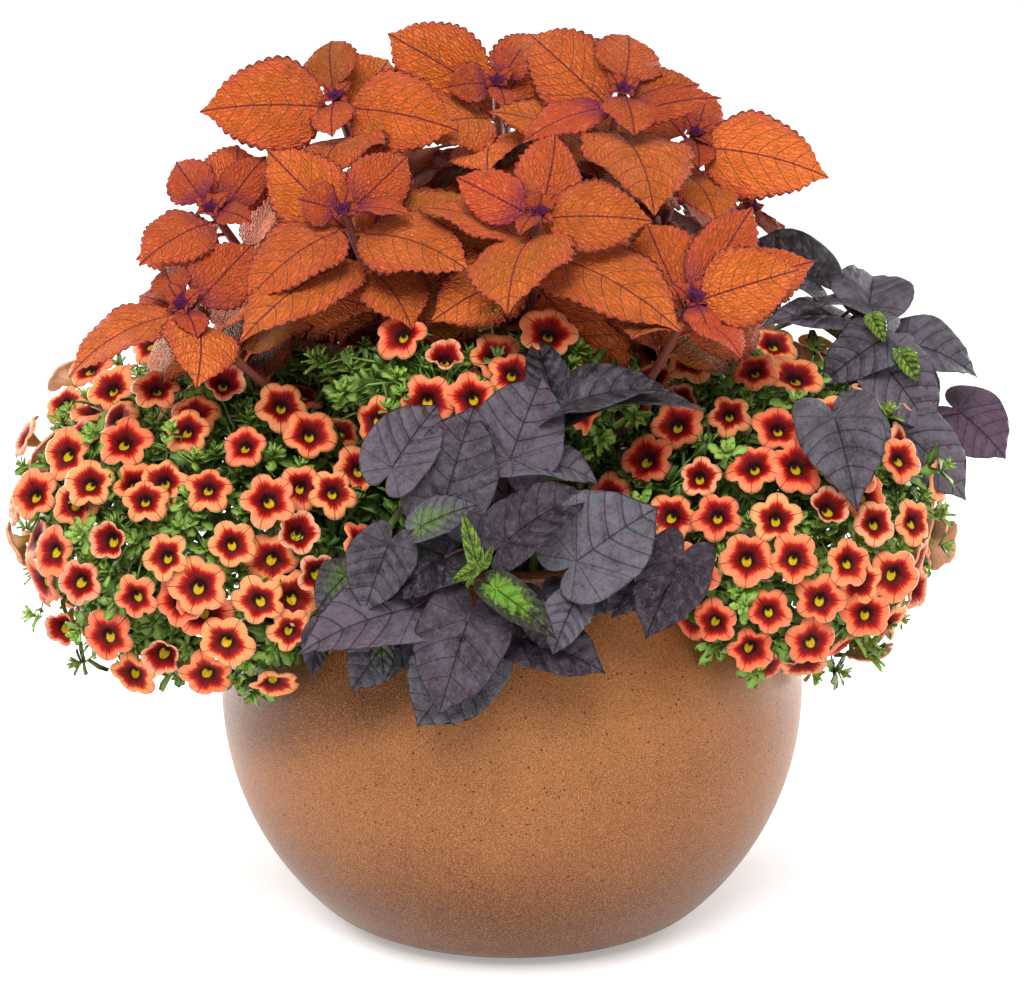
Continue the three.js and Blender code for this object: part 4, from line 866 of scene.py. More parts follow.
# A vine leaf is [its joint's x, y and z, right, up and near of its tip from there, width, lay, share of the
# runner at which its stalk starts]. Those under "extra" aren't in the solids.
vine = {
    "form": {"arch": 0.08, "fold": 0.12, "cup": 0.35}, "thickness": 0.32, "basalVeins": [0.95, 1.65, 2.3],
    "runners": [
        {"name": "front_middle", "foot": [-16, -122], "crest": [-20, -170, 372], "fall": [-22, -222, 330],
         "end": [-34, -219, 262],
         "leaves": [
             [-4, -228, 325, 53, 35, 6, 50, 35, 0.62], [-41, -215, 312, -38, -26, 6, 44, 30, 0.66],
             [-59, -222, 281, -76, -27, 8, 58, 40, 0.8], [-27, -236, 278, -19, -60, 6, 60, 8, 0.84],
             [-27, -214, 247, -33, -45, 4, 62, 5, 0.96], [-10, -246, 300, 38, -30, 14, 26, 20, 0.82]],
         "extra": [
             [-21, -250, 316, -10, 35, 6, 12, 15, 0.84], [-22, -252, 315, -16, -9, 4, 9, 15, 0.84],
             [-17, -250, 316, 6, 14, 8, 6, 15, 0.84]]},
        {"name": "front_upper", "foot": [4, -106], "crest": [2, -140, 380], "fall": [-6, -178, 400],
         "end": [-14, -186, 348],
         "leaves": [
             [-1, -200, 371, 21, 55, -14, 62, 20, 0.84], [-42, -210, 346, 19, 60, -16, 60, 20, 0.95],
             [-75, -203, 366, 29, 42, -12, 46, 20, 0.9], [-4, -190, 340, 22, 13, 4, 44, 60, 0.97],
             [-26, -195, 330, -34, -3, 4, 28, 30, 0.98], [2, -195, 369, 56, 1, 6, 44, 50, 0.86]],
         "extra": [[-57, -224, 334, 36, 14, 6, 27, 25, 0.98]]},
        {"name": "front_right", "foot": [30, -108], "crest": [32, -162, 362], "fall": [40, -214, 336],
         "end": [48, -214, 268],
         "leaves": [
             [40, -230, 313, 52, 35, -6, 68, 15, 0.72], [5, -224, 262, 54, -22, 6, 46, 30, 0.92],
             [39, -232, 288, -14, -34, 4, 30, 30, 0.85], [105, -220, 311, -22, -48, 6, 48, 15, 0.74],
             [20, -212, 286, 14, -44, 4, 44, 15, 0.9]],
         "extra": [[86, -212, 313, -24, -40, 4, 46, 15, 0.8], [66, -204, 300, -20, -30, 2, 40, 15, 0.85]]},
        {"name": "front_back", "foot": [46, -84], "crest": [44, -112, 410], "fall": [38, -150, 430],
         "end": [34, -166, 396],
         "leaves": [
             [36, -188, 404, 64, 9, 10, 46, 55, 0.95], [44, -176, 394, 76, 6, 10, 40, 65, 0.98],
             [26, -174, 405, -12, 40, -10, 30, 20, 0.93]]},
        {"name": "front_left", "foot": [-46, -106], "crest": [-60, -156, 366], "fall": [-84, -198, 350],
         "end": [-84, -202, 272],
         "leaves": [
             [-77, -208, 318, -16, -44, 4, 44, 30, 0.82], [-122, -208, 262, -4, -30, 4, 20, 10, 0.92],
             [-74, -210, 262, -28, -38, 4, 42, 8, 0.97], [-84, -216, 268, 4, -36, 4, 18, 30, 0.95],
             [-104, -200, 296, -20, -22, 6, 30, 25, 0.86]]},
        {"name": "right_upper", "foot": [104, 14], "crest": [150, 20, 420], "fall": [196, 20, 440],
         "end": [226, 2, 400],
         "leaves": [
             [204, 10, 442, -46, 26, -8, 46, 35, 0.82], [240, 0, 425, 8, 30, -38, 56, 10, 0.93],
             [232, -10, 428, -46, -3, 8, 42, 75, 0.9], [224, 0, 418, -58, -5, 10, 46, 65, 0.92],
             [235, -8, 404, 4, 22, 4, 10, 10, 0.98], [250, -25, 410, -46, -32, 10, 44, 25, 0.98]],
         "extra": [[239, -31, 426, 9, -18, 6, 14, 20, 0.93], [258, -38, 403, 12, -20, 6, 16, 20, 0.9]]},
        {"name": "right_lower", "foot": [112, -16], "crest": [168, -26, 400], "fall": [232, -22, 410],
         "end": [268, -22, 346],
         "leaves": [
             [263, -5, 402, 52, -20, 4, 44, 40, 0.86], [245, -30, 396, 38, -48, 12, 52, 20, 0.8],
             [216, -66, 362, 15, -52, 10, 58, 8, 0.78], [253, -42, 356, 54, -47, 14, 54, 20, 0.94],
             [303, 5, 352, 33, -32, 4, 52, 25, 0.97], [268, 12, 384, 20, -32, -4, 30, 30, 0.9]],
         "extra": [[249, 5, 358, 15, -52, 4, 42, 20, 0.86], [267, 20, 287, 8, -32, 4, 26, 20, 0.97],
                   [206, -149, 385, 11, -52, 37, 58, 8, 0.72]]},
        {"name": "back_right", "foot": [38, 116], "crest": [52, 178, 372], "fall": [66, 248, 346],
         "end": [74, 256, 236], "count": 6},
        {"name": "back_left", "foot": [-64, 106], "crest": [-96, 160, 376], "fall": [-134, 226, 350],
         "end": [-150, 238, 246], "count": 6},
    ],
    # (green, magenta) of the few leaves that aren't charcoal, by runner and number
    "young": {
        ("front_left", 3): (0.55, 0), ("front_left", 4): (0.45, 0.2), ("front_middle", 2): (0, 0.35),
        ("front_middle", 5): (1.0, 0), ("front_middle", 6): (1.6, 0), ("front_middle", 7): (1.6, 0),
        ("front_middle", 8): (1.6, 0), ("front_upper", 3): (0, 0.8), ("front_upper", 4): (0.4, 0),
        ("front_upper", 6): (0.5, 0), ("right_lower", 4): (0, 0.7), ("right_upper", 4): (1.0, 0),
        ("right_upper", 6): (1.6, 0), ("right_upper", 7): (1.6, 0),
    },
}


def vineLeafPaint():
    material, tree = newMaterial("vineLeaf", Specular_IOR_Level=0.5)
    place = field(tree, "leafPlace")
    forward, aside, _ = parts(place)
    rib = field(tree, "ribPlace", "Fac")
    r, _ = uvParts(tree)
    tone, green, magenta = parts(field(tree, "nature"))
    out = abs(aside)
    turn, reach = calc("ARCTAN2", out, forward), hypotenuse(out, forward)
    veins = band(out + band(forward, 0.0, -0.1), 0.055, 0.02)
    for angle in vine["basalVeins"]:
        veins = calc("MAXIMUM", veins, band(reach * abs(turn - angle), 0.035, 0.012) * 0.6)
    offRib = abs(calc("FRACT", rib) - 0.5)
    ahead = band(rib, 0.9, 1.2)
    veins = calc("MAXIMUM", veins, band(offRib, 0.462, 0.492) * ahead * 0.6)
    sheenMottle = noise(place, 2.2, 5, 0.7)
    tint = tone + (noise(place, 0.7, 3) - 0.5) * 1.5
    middle = band(r + noise(place, 3.2, 4, 0.65) * 1.3, 1.45, 1.05)
    colour = layered(
        blend(band(tint, -0.1, 1.1), (26, 22, 26), (108, 103, 113)),
        # painted sheen: lighter slate-grey patches from the mottle
        (band(sheenMottle, 0.5, 0.64, 0, 0.4), (116, 112, 124)),
        (band(sheenMottle, 0.48, 0.32, 0, 0.45), (16, 12, 15)),
        # painted shade in the grooves beside the side veins
        (band(offRib, 0.38, 0.48, 0, 0.3) * ahead, (30, 24, 29)),
        (magenta * 0.8, blend(sheenMottle, (60, 24, 54), (112, 62, 98))),
        (band(green, 0.0, 1.2, 0, 0.8), (52, 52, 30)),
        (band(green, 0.1, 1.0) * middle, (112, 160, 44)),
        (band(green, 1.2, 1.5), blend(band(sheenMottle, 0.38, 0.62), (64, 88, 26), (136, 168, 58))),
        (band(noise(place, 16, 3, 0.7), 0.6, 0.8, 0, 0.25), (150, 142, 150)),
        (veins * 0.6, (44, 20, 36)),
        (band(r, 1.02, 1.08) * 0.6, (108, 62, 96)))
    height = band(offRib, 0.5, 0.1) * ahead * 0.7 + sheenMottle * 1.5 - veins * 0.9
    return dress(material, colour, height, 0.0026, roughness=band(sheenMottle, 0.3, 0.7, 0.28, 0.44) - green * 0.2)


def vineStemPaint():
    material, tree = newMaterial("vineStem", Roughness=0.45)
    grain = noise(field(tree, "leafPlace"), 3.0, 4)
    _, green, _ = parts(field(tree, "nature"))
    colour = layered(blend(grain, (62, 34, 54), (102, 62, 84)), (green, (120, 150, 60)))
    return dress(material, colour, grain, 0.0004)


# A heart's reach from the stalk's joint at each turn from the tip: convex sides, a drawn-out tip and a notch.
halfTurns = np.array([0, .04, .085, .15, .25, .36, .48, .62, .8, .98, 1.16, 1.34, 1.52, 1.7, 1.9, 2.1, 2.28,
                      2.46, 2.62, 2.77, 2.9, 3.02, math.pi])
halfReach = np.array([1, .95, .915, .872, .832, .79, .745, .695, .635, .585, .545, .51, .48, .46, .44, .425,
                      .405, .38, .345, .295, .23, .155, .08])
allTurns = np.concatenate([halfTurns, -halfTurns[-2:0:-1]])


def heartReach(lobe):
    turn = np.abs(allTurns)
    return np.interp(turn, halfTurns, halfReach) * (1 + (lobe / 0.46 - 1) * smooth(1.3, 2.3, turn))


# One vine leaf: rings round the joint, out over the upper face to the rim and back under the lower.
# At turn a and share r: t = r reach cos a, w = r reach sin a width / 1.02. The leaf is grooved along its midrib
# and puffed up between its side veins.
def vineLeaf(leaf, seed, nature):
    length, width = np.linalg.norm(leaf["tip"] - leaf["root"]), leaf["width"]
    shares = np.array([0.1, 0.28, 0.47, 0.66, 0.84, 0.95, 1.0])
    rows = np.concatenate([shares, shares[-2::-1]])[:, None]
    face = np.concatenate([np.ones(6), [0], -np.ones(6)])[:, None]
    ripple = 1 + 0.035 * np.sin(5 * allTurns + 6 * chance(seed, 31)) * smooth(0.3, 0.9, np.abs(allTurns))
    reach = heartReach(0.40 + 0.12 * chance(seed, 30) if width > 16 else 0.2) * ripple * rows
    t, w = reach * np.cos(allTurns), reach * np.sin(allTurns) * width / 1.02
    v = np.abs(w) / (0.5 * width)
    rib = 5.0 * (t - 0.16 * v - 0.20 * v * v) + 1.0
    groove = -0.9 * np.exp(-((w / 2.2) ** 2)) * smooth(0.02, 0.2, t) * (1 - 0.5 * rows)
    puff = -0.016 * width * np.cos(2 * math.pi * (rib - 0.5)) * smooth(0.7, 1.3, rib) * smooth(0, 0.25, v) \
        * rows
    fold = (0.08 + 0.42 * chance(seed, 32)) * np.abs(w)
    droop = -length * (0.02 + 0.22 * chance(seed, 33) ** 2) * np.clip(t, 0, 1) ** 2.5
    wave = width * 0.085 * v ** 1.5 * np.sin(5.0 * t + 6 * chance(seed, 34) + 2.5 * (w > 0))
    lobe = width * (0.10 - 0.22 * chance(seed, 35)) * smooth(0.0, 0.45, -t)
    lift = groove + puff + fold + droop + wave + lobe + face * vine["thickness"]
    return closedSurfaces(carried((1, *t.shape), leafPoints(leaf, t, w, lift),
                                  (np.where(face < 0, 2 - rows, rows), 0.5 + allTurns / (2 * math.pi)),
                                  (t * length / 10, w / 10, seed * 1.3), nature, rib))


def shownVineLeaf(row, stations, corners):
    x, y, z, right, up, near, width, lay, along = row
    root = np.array([x, y, z], float)
    return {"root": root, "tip": root + seenPoint(right, up, near), "width": width, "bend": 0.0,
            "facing": lookFacing(lay, [0, 0, 0]), "start": onStem(stations, corners, along), **vine["form"]}


def ruledVineLeaf(i, index, count, stations, corners):
    start = onStem(stations, corners, 0.45 + 0.55 * (i + 0.5) / count)
    outward = unit([start[0], start[1], 0])
    sideways = np.array([-outward[1], outward[0], 0]) * (1 if i % 2 == 0 else -1)
    size = 46 + 16 * chance(index + 40, i)
    root = start + outward * 22 + sideways * 20 + [0, 0, 12]
    return {"root": root, "tip": root + sideways * size * 0.55 + outward * size * 0.25 - [0, 0, size * 0.75],
            "width": size, "facing": unit(outward + [0, 0, 0.5]), "start": start, **vine["form"]}


def growVine():
    skins = [vineLeafPaint(), vineStemPaint()]
    ruled = 0
    for index, runner in enumerate(vine["runners"]):
        node = f"vine_runner_{runner['name']}"
        corners = [[*runner["foot"], stems["foot"]], *(runner[k] for k in ("crest", "fall", "end"))]
        stations = stationsOf(corners, 7)
        tree = pointsOf([node])
        leaves = [shownVineLeaf(row, stations, corners) for row in runner.get("leaves", [])]
        if "count" in runner:
            count = runner["count"]
            leaves = [ruledVineLeaf(i, ruled, count, stations, corners) for i in range(count)]
            ruled += 1
        leaves = [settled(leaf, vineMarks, vineMoves, tree) for leaf in leaves]
        print(node, "leaves not found:", sum(found == 0 for found, _ in leaves))
        leaves = [leaf for _, leaf in leaves] + [shownVineLeaf(row, stations, corners)
                                                 for row in runner.get("extra", [])]
        line = easedLine(stations, 5)
        patches = [tube(line, stems["vine"] * np.linspace(1.1, 0.6, len(line)), 8)]
        for number, leaf in enumerate(leaves):
            seed = 300 + index * 13 + number
            green, magenta = vine["young"].get((runner["name"], number), (0, 0.3 * chance(seed, 4) ** 2))
            patches.append(vineLeaf(leaf, seed, (chance(seed, 3), green, magenta)))
            start, joint = leaf["start"], leafPoints(leaf, np.array([0.03]), np.zeros(1))[0]
            middle = (start + joint) / 2 + [0, 0, 3]
            stalk = bezier((start, (start + middle) / 2, (middle + joint) / 2, joint), np.linspace(0, 1, 9))
            patches.append(tube(stalk, stems["vineStalk"], 6, (0.5, green, 0)))
        makePiece(f"leafy_{node}", patches, skins, node)


growVine()
print("vine grown")

# A spray is its name, its foot (x, y), its crest and its end. Of each mound, "counts" says how many blooms and
# tufts of leaves are looked for in front and behind, "seen" where more blooms stand (right and up), "more" and
# "rosettes" how many directions are tried for the blooms and twigs between.
calibrachoa = {
    "bloomRadius": 17, "around": 30, "moreAround": 20, "bloomSpacing": 26, "backSpacing": 40, "tuftSpacing": 42,
    "missAllowed": 0.3, "seenRoom": 18, "moreRoom": 29, "tuftRoom": 24, "lastIndex": 400, "lowestBloom": 200,
    "leastOutward": 95, "farthestFromStem": 95,
    # leaves keep out of a round space before each bloom: its radius, and its ends from the bloom's middle
    "clearRadius": 13, "clearFrom": -5, "clearTo": 26,
    "twigLengths": (12, 105), "lowestTwig": 188, "highestTwig": 388, "twigRoom": 27,
    "twigLeaves": 4, "tipLeaves": 11, "tuftLeaves": 14, "stemLeaves": 44, "leafTurn": 2.4,
    "sprays": [
        ["left_1", [-66, -100], [-96, -140, 352], [-122, -152, 290]],
        ["left_2", [-90, -92], [-140, -140, 352], [-160, -142, 226]],
        ["left_3", [-92, -62], [-176, -110, 372], [-226, -126, 312]],
        ["left_4", [-114, -62], [-196, -92, 350], [-238, -112, 224]],
        ["left_5", [-112, -30], [-220, -40, 376], [-294, -52, 300]],
        ["left_6", [-130, 2], [-210, 4, 346], [-256, 6, 222]],
        ["left_7", [-112, 44], [-190, 74, 366], [-248, 78, 304]],
        ["left_8", [-92, 82], [-130, 120, 356], [-170, 132, 270]],
        ["right_1", [72, -96], [92, -140, 362], [112, -158, 310]],
        ["right_2", [92, -84], [136, -136, 352], [146, -148, 242]],
        ["right_3", [92, -56], [154, -96, 372], [184, -124, 330]],
        ["right_4", [116, -50], [190, -80, 350], [208, -106, 240]],
        ["right_5", [130, 4], [210, 10, 340], [258, 0, 276]],
        ["right_6", [112, 46], [176, 76, 362], [230, 84, 290]],
        ["right_7", [82, 88], [118, 126, 352], [152, 132, 276]],
        ["front_1", [-40, -128], [-52, -132, 372], [-46, -148, 400]],
        ["front_2", [14, -132], [16, -134, 372], [8, -146, 402]],
    ],
    "mounds": {
        "left": {
            "centre": [-176, -20, 285], "radii": [166, 186, 118], "counts": [58, 13, 8, 1],
            "rosettes": 240, "more": 190,
            "front": [
                [-300, 372], [-338, 316], [-306, 244], [-276, 190], [-250, 166], [-196, 166], [-136, 186],
                [-116, 240], [-104, 284], [-106, 322], [-60, 346], [-62, 386], [-130, 392], [-234, 380]],
            "seen": [
                [-233, 370], [-274, 355], [-258, 349], [-165, 376], [-129, 378], [-228, 341], [-208, 346],
                [-294, 331], [-280, 312], [-240, 326], [-249, 315], [-228, 300], [-247, 298], [-203, 296],
                [-250, 277], [-178, 305], [-175, 329], [-151, 335], [-132, 337], [-116, 329], [-125, 313],
                [-132, 294], [-166, 284], [-173, 265], [-213, 262], [-259, 258], [-192, 255], [-234, 250],
                [-146, 264], [-135, 253], [-150, 243], [-127, 274], [-218, 236], [-265, 229], [-231, 217],
                [-194, 223], [-171, 226], [-136, 215], [-197, 205], [-184, 201], [-213, 214], [-150, 197],
                [-235, 178], [-215, 189], [-266, 204], [-307, 293], [-288, 281], [-279, 270], [-293, 257],
                [-103, 356], [-81, 350], [-111, 300], [-102, 280], [-108, 336]]},
        "right": {
            "centre": [164, -20, 290], "radii": [136, 184, 116], "counts": [42, 10, 6, 1],
            "rosettes": 212, "more": 160,
            "front": [
                [34, 386], [86, 398], [172, 394], [196, 360], [212, 322], [256, 322], [262, 256], [240, 214],
                [212, 188], [124, 190], [102, 222], [100, 256], [58, 286], [84, 336]],
            "seen": [
                [96, 390], [107, 374], [107, 351], [151, 370], [172, 387], [149, 349], [183, 350], [128, 327],
                [105, 315], [142, 316], [175, 312], [192, 300], [75, 296], [130, 283], [158, 281], [145, 299],
                [104, 265], [132, 245], [162, 256], [202, 265], [221, 268], [160, 231], [114, 220], [208, 232],
                [205, 216], [249, 313], [232, 288], [232, 254], [124, 204], [149, 205], [171, 199], [203, 196],
                [260, 273], [226, 227], [193, 365], [93, 326], [191, 336]]},
        "front": {
            "centre": [-20, -110, 392], "radii": [110, 74, 46], "counts": [7, 0, 2, 0],
            "rosettes": 60, "more": 16,
            "front": [
                [-70, 402], [-70, 372], [-30, 356], [24, 366], [56, 380], [56, 392], [-10, 410]],
            "seen": [
                [-65, 385], [-43, 375], [-26, 347], [-33, 371], [-26, 393], [-10, 380], [2, 359], [41, 369],
                [-54, 345]]},
    },
    "backBand": [
        [-330, 340], [-330, 210], [-240, 180], [240, 180], [330, 210], [330, 340], [240, 380], [-240, 380]],
}
views = ((rightward, upward, nearward), (-rightward, upward * [1, -1, 1], nearward * [1, -1, 1]))  # front, back
sprayStations = {name: stationsOf(([*foot, stems["foot"]], [*foot, crest[2]], crest, end), 5)
                 for name, foot, crest, end in calibrachoa["sprays"]}


def bloomPaint():
    material, tree = newMaterial("bloomPetal", Specular_IOR_Level=0.15)
    x, y = ((part - 0.5) * 4.0 for part in uvParts(tree))
    r, turn = hypotenuse(x, y), calc("ARCTAN2", y, x)
    cosine, sine = calc("COSINE", turn), calc("SINE", turn)
    tone, wilt, seed = parts(field(tree, "nature"))
    rays = noise(combine(cosine * 4.0, sine * 4.0, seed), 2.6, 4, 0.75)
    fine = noise(combine(cosine * 9.0, sine * 9.0, r * 2.5), 3.0, 2)
    mix = tone * 0.8 + noise(combine(x, y, seed), 1.6, 3) * 0.4
    ridge = band(r * abs(calc("SINE", turn * 2.5)), 0.065, 0.02)
    inner = r - (calc("COSINE", turn * 5.0) * 0.03 + 0.60 + (rays - 0.5) * 0.5)  # below 0 in the dark star
    downX, downY, _ = parts(field(tree, "leafPlace"))
    ball = calc("SQRT", downX * downX * 1.3 + (downY + 0.08) * (downY + 0.08))
    crescent = band(ball + rays * 0.12, 0.275, 0.235) * band(hypotenuse(downX, downY - 0.07), 0.06, 0.14)
    colour = layered(
        blend(band(mix, 0.15, 1.0), (242, 98, 60), (248, 160, 94)),
        (band(r, 0.6, 0.95, 0, 0.4), (252, 164, 120)),
        (band(rays, 0.5, 0.7, 0, 0.4), (246, 172, 104)),
        (band(rays, 0.46, 0.3, 0, 0.45), (200, 66, 34)),
        (band(fine, 0.46, 0.36, 0, 0.5), (196, 74, 40)),
        (band(r, 0.95, 1.0, 0, 0.7), (250, 196, 158)),
        (wilt * 0.85, (216, 160, 130)),
        (ridge * 0.7, (132, 28, 18)),
        (band(inner, 0.13, -0.03), (190, 26, 14)),
        (band(inner, 0.0, -0.16), (104, 8, 12)),
        (band(inner, 0.0, -0.1) * band(rays, 0.45, 0.7, 0, 0.35), (150, 20, 20)),
        # near-black throat: the star's own darkest colour, with painted shade of the deep cup
        (band(r, 0.40, 0.2), (38, 3, 7)),
        (crescent, blend(band(rays, 0.35, 0.65), (182, 146, 14), (236, 200, 36))),
        (band(r, 1.02, 1.06), blend(band(rays, 0.35, 0.7), (236, 164, 130), (250, 204, 172))),
        (band(r, 1.3, 1.7), (180, 142, 62)))
    return dress(material, colour, rays + crescent * 2.0 - ridge * 0.8, 0.0008, 0.8, 0.5 - crescent * 0.3)


def greenPaint():
    material, tree = newMaterial("calibrachoaGreen", Roughness=0.4, Specular_IOR_Level=0.35)
    _, u = uvParts(tree)
    tone, fresh, _ = parts(field(tree, "nature"))
    place = field(tree, "leafPlace")
    colour = layered(
        blend(band(tone * 0.8 + noise(place, 1.4, 3) * 0.35, 0.1, 1.0), (60, 88, 32), (152, 190, 84)),
        (fresh * 0.85, (172, 206, 98)),
        (band(abs(u - 0.5), 0.09, 0.02, 0, 0.4), (152, 186, 96)))
    return dress(material, colour, noise(place, 8, 2), 0.0003, 0.5)


def insideOutline(x, y, outline):  # inside, a line to one side crosses an odd number of edges
    inside = False
    for (xi, yi), (xj, yj) in zip(outline, [outline[-1], *outline]):
        if (yi > y) != (yj > y) and x < (xj - xi) * (y - yi) / (yj - yi) + xi:
            inside = not inside
    return inside


# Where the line of sight over (right, up) first meets the mound's ellipsoid, and the way out of it there.
def moundPoint(mound, right, up, view):
    across, over, look = view
    start = across * right + over * up
    scaled, way = (start - mound["centre"]) / mound["radii"], look / mound["radii"]
    a, b = way @ way, scaled @ way
    root = b * b - a * (scaled @ scaled - 1)
    if root < -calibrachoa["missAllowed"] * a:
        return None
    point = start + look * (-b + math.sqrt(max(root, 0))) / a
    return point, unit((point - mound["centre"]) / np.square(mound["radii"]))


# An even scatter over the outline from two irrational steps, each kept a spacing away from the ones before.
def scatter(mound, outline, count, spacing, view, shift):
    low, high = np.min(outline, 0), np.max(outline, 0)
    found, spots = [], []
    for i in range(1, 4000):
        if len(found) >= count:
            break
        right, up = low + (high - low) * [(i * 0.7548776662 + shift) % 1, (i * 0.569840291) % 1]
        crowded = any(math.hypot(a - right, b - up) < spacing for a, b in found)
        spot = None if crowded or not insideOutline(right, up, outline) else moundPoint(mound, right, up, view)
        if spot is not None:
            found.append((right, up))
            spots.append(spot)
    return spots


def nearestSpray(moundName, point):  # how far its stem is, the nearest place on it and its name
    return min(((*nearestOnLine(stations[2:], point), name) for name, stations in sprayStations.items()
                if name.startswith(moundName)), key=lambda spray: spray[0])


# Stars are blooms and tufts of leaves. "reach" and "lift" are those of the solid's points and of its notches.
starKinds = {"bloom": {"points": 5, "reach": (16, 13.44), "lift": (-1.5, 0), "throat": 7, "neck": 15},
             "tuft": {"points": 3, "reach": (17, 3.6), "lift": (5, 0), "throat": 0, "neck": 7}}


# A star stands on the spray nearest to its neck, and tilts away from its root there.
def starAt(kind, moundName, centre, axis, index, tilt=0):
    _, root, owner = nearestSpray(moundName, centre - axis * starKinds[kind]["neck"])
    axis = unit(axis + unit(centre - root) * tilt)
    across, over = acrossFrame(axis)
    return {"centre": centre, "axis": axis, "across": across, "over": over, "spin": 6.28 * chance(index, 4),
            "root": root, "owner": owner, "kind": kind, "index": index}


# Tries the same small moves as the solids did, and takes the one whose corners are vertices of the sprays.
def findStar(kind, moundName, spot, look, index, tree):
    shape = starKinds[kind]
    point, out = spot
    axis = unit(out * 0.7 + look * 0.6 + (chanceWay(index) - 0.5) * 0.5)
    corner = np.arange(2 * shape["points"])
    reach, lift = (np.where(corner % 2 == 0, *shape[k])[:, None] for k in ("reach", "lift"))
    best = (2, None)
    for tilt in (0, 0.6, 1.2):
        for shift in (0, 5, -6, 11, -12, 17, -18, -25, 24):
            star = starAt(kind, moundName, point + out * shift, axis, index, tilt)
            ways = turnedWay(math.pi * corner / shape["points"] + star["spin"], star["across"], star["over"])
            count = hits(tree, [*(star["centre"] + reach * ways + lift * star["axis"]),
                                star["centre"] - star["axis"] * shape["throat"]])
            if count > best[0]:
                best = (count, star)
    return best[1]


def findStars():
    tree = pointsOf([f"calibrachoa_spray_{name}" for name in sprayStations])
    stars = []
    for kind, first, spacings, shifts in (
            ("bloom", 0, (calibrachoa["bloomSpacing"], calibrachoa["backSpacing"]), (0.2, 0.4)),
            ("tuft", 2, (calibrachoa["tuftSpacing"], calibrachoa["tuftSpacing"]), (0.7, 0.9))):
        for moundName, mound in calibrachoa["mounds"].items():
            for side, outline in enumerate((mound["front"], calibrachoa["backBand"])):
                for spot in scatter(mound, outline, mound["counts"][first + side], spacings[side], views[side],
                                    shifts[side]):
                    stars.append(findStar(kind, moundName, spot, views[side][2], len(stars) + 1, tree))
    found = [star for star in stars if star is not None]
    print("stars found", len(found), "dropped", len(stars) - len(found))
    return found


# A bloom's rings, from the bottom of the throat out to the rim, then under and down the tube: share of its
# radius, height and the radius at which its material paints it.
bloomRings = np.array([
    [0.06, -6.2, 0.06], [0.16, -5.4, 0.16], [0.26, -3.9, 0.26], [0.38, -2.3, 0.38], [0.54, -1.0, 0.54],
    [0.74, -0.1, 0.74], [0.90, 0.0, 0.90], [1.0, -1.0, 1.0], [0.97, -1.7, 1.07], [0.66, -1.6, 1.2],
    [0.30, -5.4, 1.4], [0.15, -11.0, 1.7], [0.09, -15.0, 1.95]])


# Radius at turn a: R (1 - d (1 - |cos 2.5a|^0.7)) at the rim, d the notch, easing to round in the throat; the
# lobes bend back by |cos 2.5a| and the rim is ruffled. Wilted ones are narrower and folded up.
def makeBlooms(stars, around):
    angle = fullTurn(around)
    share, height, painted = (bloomRings[:, k:k + 1] for k in range(3))
    across, over, axis, centre, spin, index = (np.array([s[k] for s in stars], float)[:, None, None]
                                               for k in ("across", "over", "axis", "centre", "spin", "index"))
    petal = np.abs(np.cos(2.5 * angle))
    lobes = 1.02 - (0.19 + 0.12 * chance(index, 22)) * (1 - petal ** 0.7) \
        + 0.06 * np.sin(angle + 6 * chance(index, 12)) + 0.04 * np.sin(2 * angle + 6 * chance(index, 13))
    face = share ** 1.5
    wilt = np.where(chance(index, 17) > 0.9, 0.55 + 0.4 * chance(index, 18), 0.12 * chance(index, 19))
    folded = smooth(0.4, 1, wilt) * face
    radius = calibrachoa["bloomRadius"] * (0.86 + 0.26 * chance(index, 11)) * share * (1 + (lobes - 1) * face) \
        * (1 - 0.35 * folded)
    ruffle = np.sin(3 * angle + 6 * chance(index, 15)) + 0.8 * np.sin(2 * angle + 6 * chance(index, 14))
    lift = height + face * (ruffle + 5 * (chance(index, 16) - 0.62)) \
        - face ** 2 * (0.6 + 2.2 * chance(index, 23)) * petal + 9 * folded
    turn = angle + spin
    place = centre + radius[..., None] * turnedWay(turn, across, over) + lift[..., None] * axis
    down = turn - np.arctan2(-over[..., 2], -across[..., 2]) - 1.2 * (chance(index, 20) - 0.5)
    return closedSurfaces(carried(
        radius.shape, place, (0.5 + 0.25 * painted * np.cos(angle), 0.5 + 0.25 * painted * np.sin(angle)),
        (painted * np.sin(down), -painted * np.cos(down), 0), (chance(index, 21), wilt, index * 0.37)))


# The rings of a small leaf one long and one wide: place along it and width there.
spoonRows = np.array([[0.0, 0.16], [0.35, 0.66], [0.70, 1.0], [0.95, 0.62]])
plainRows = np.array([[0.0, 0.14], [0.55, 1.0], [0.97, 0.4]])


# Whether each tip keeps out of the round space before every bloom, so that no leaf pokes through a flower.
def clearOfBlooms(tips, blooms):
    way = tips[:, None] - blooms["centre"]
    ahead = (way * blooms["axis"]).sum(-1)
    aside = np.linalg.norm(way - ahead[..., None] * blooms["axis"], axis=-1)
    clear = ~((aside < calibrachoa["clearRadius"]) & (ahead > calibrachoa["clearFrom"])
              & (ahead < calibrachoa["clearTo"])).any(1)
    return clear if clear.any() else ~clear


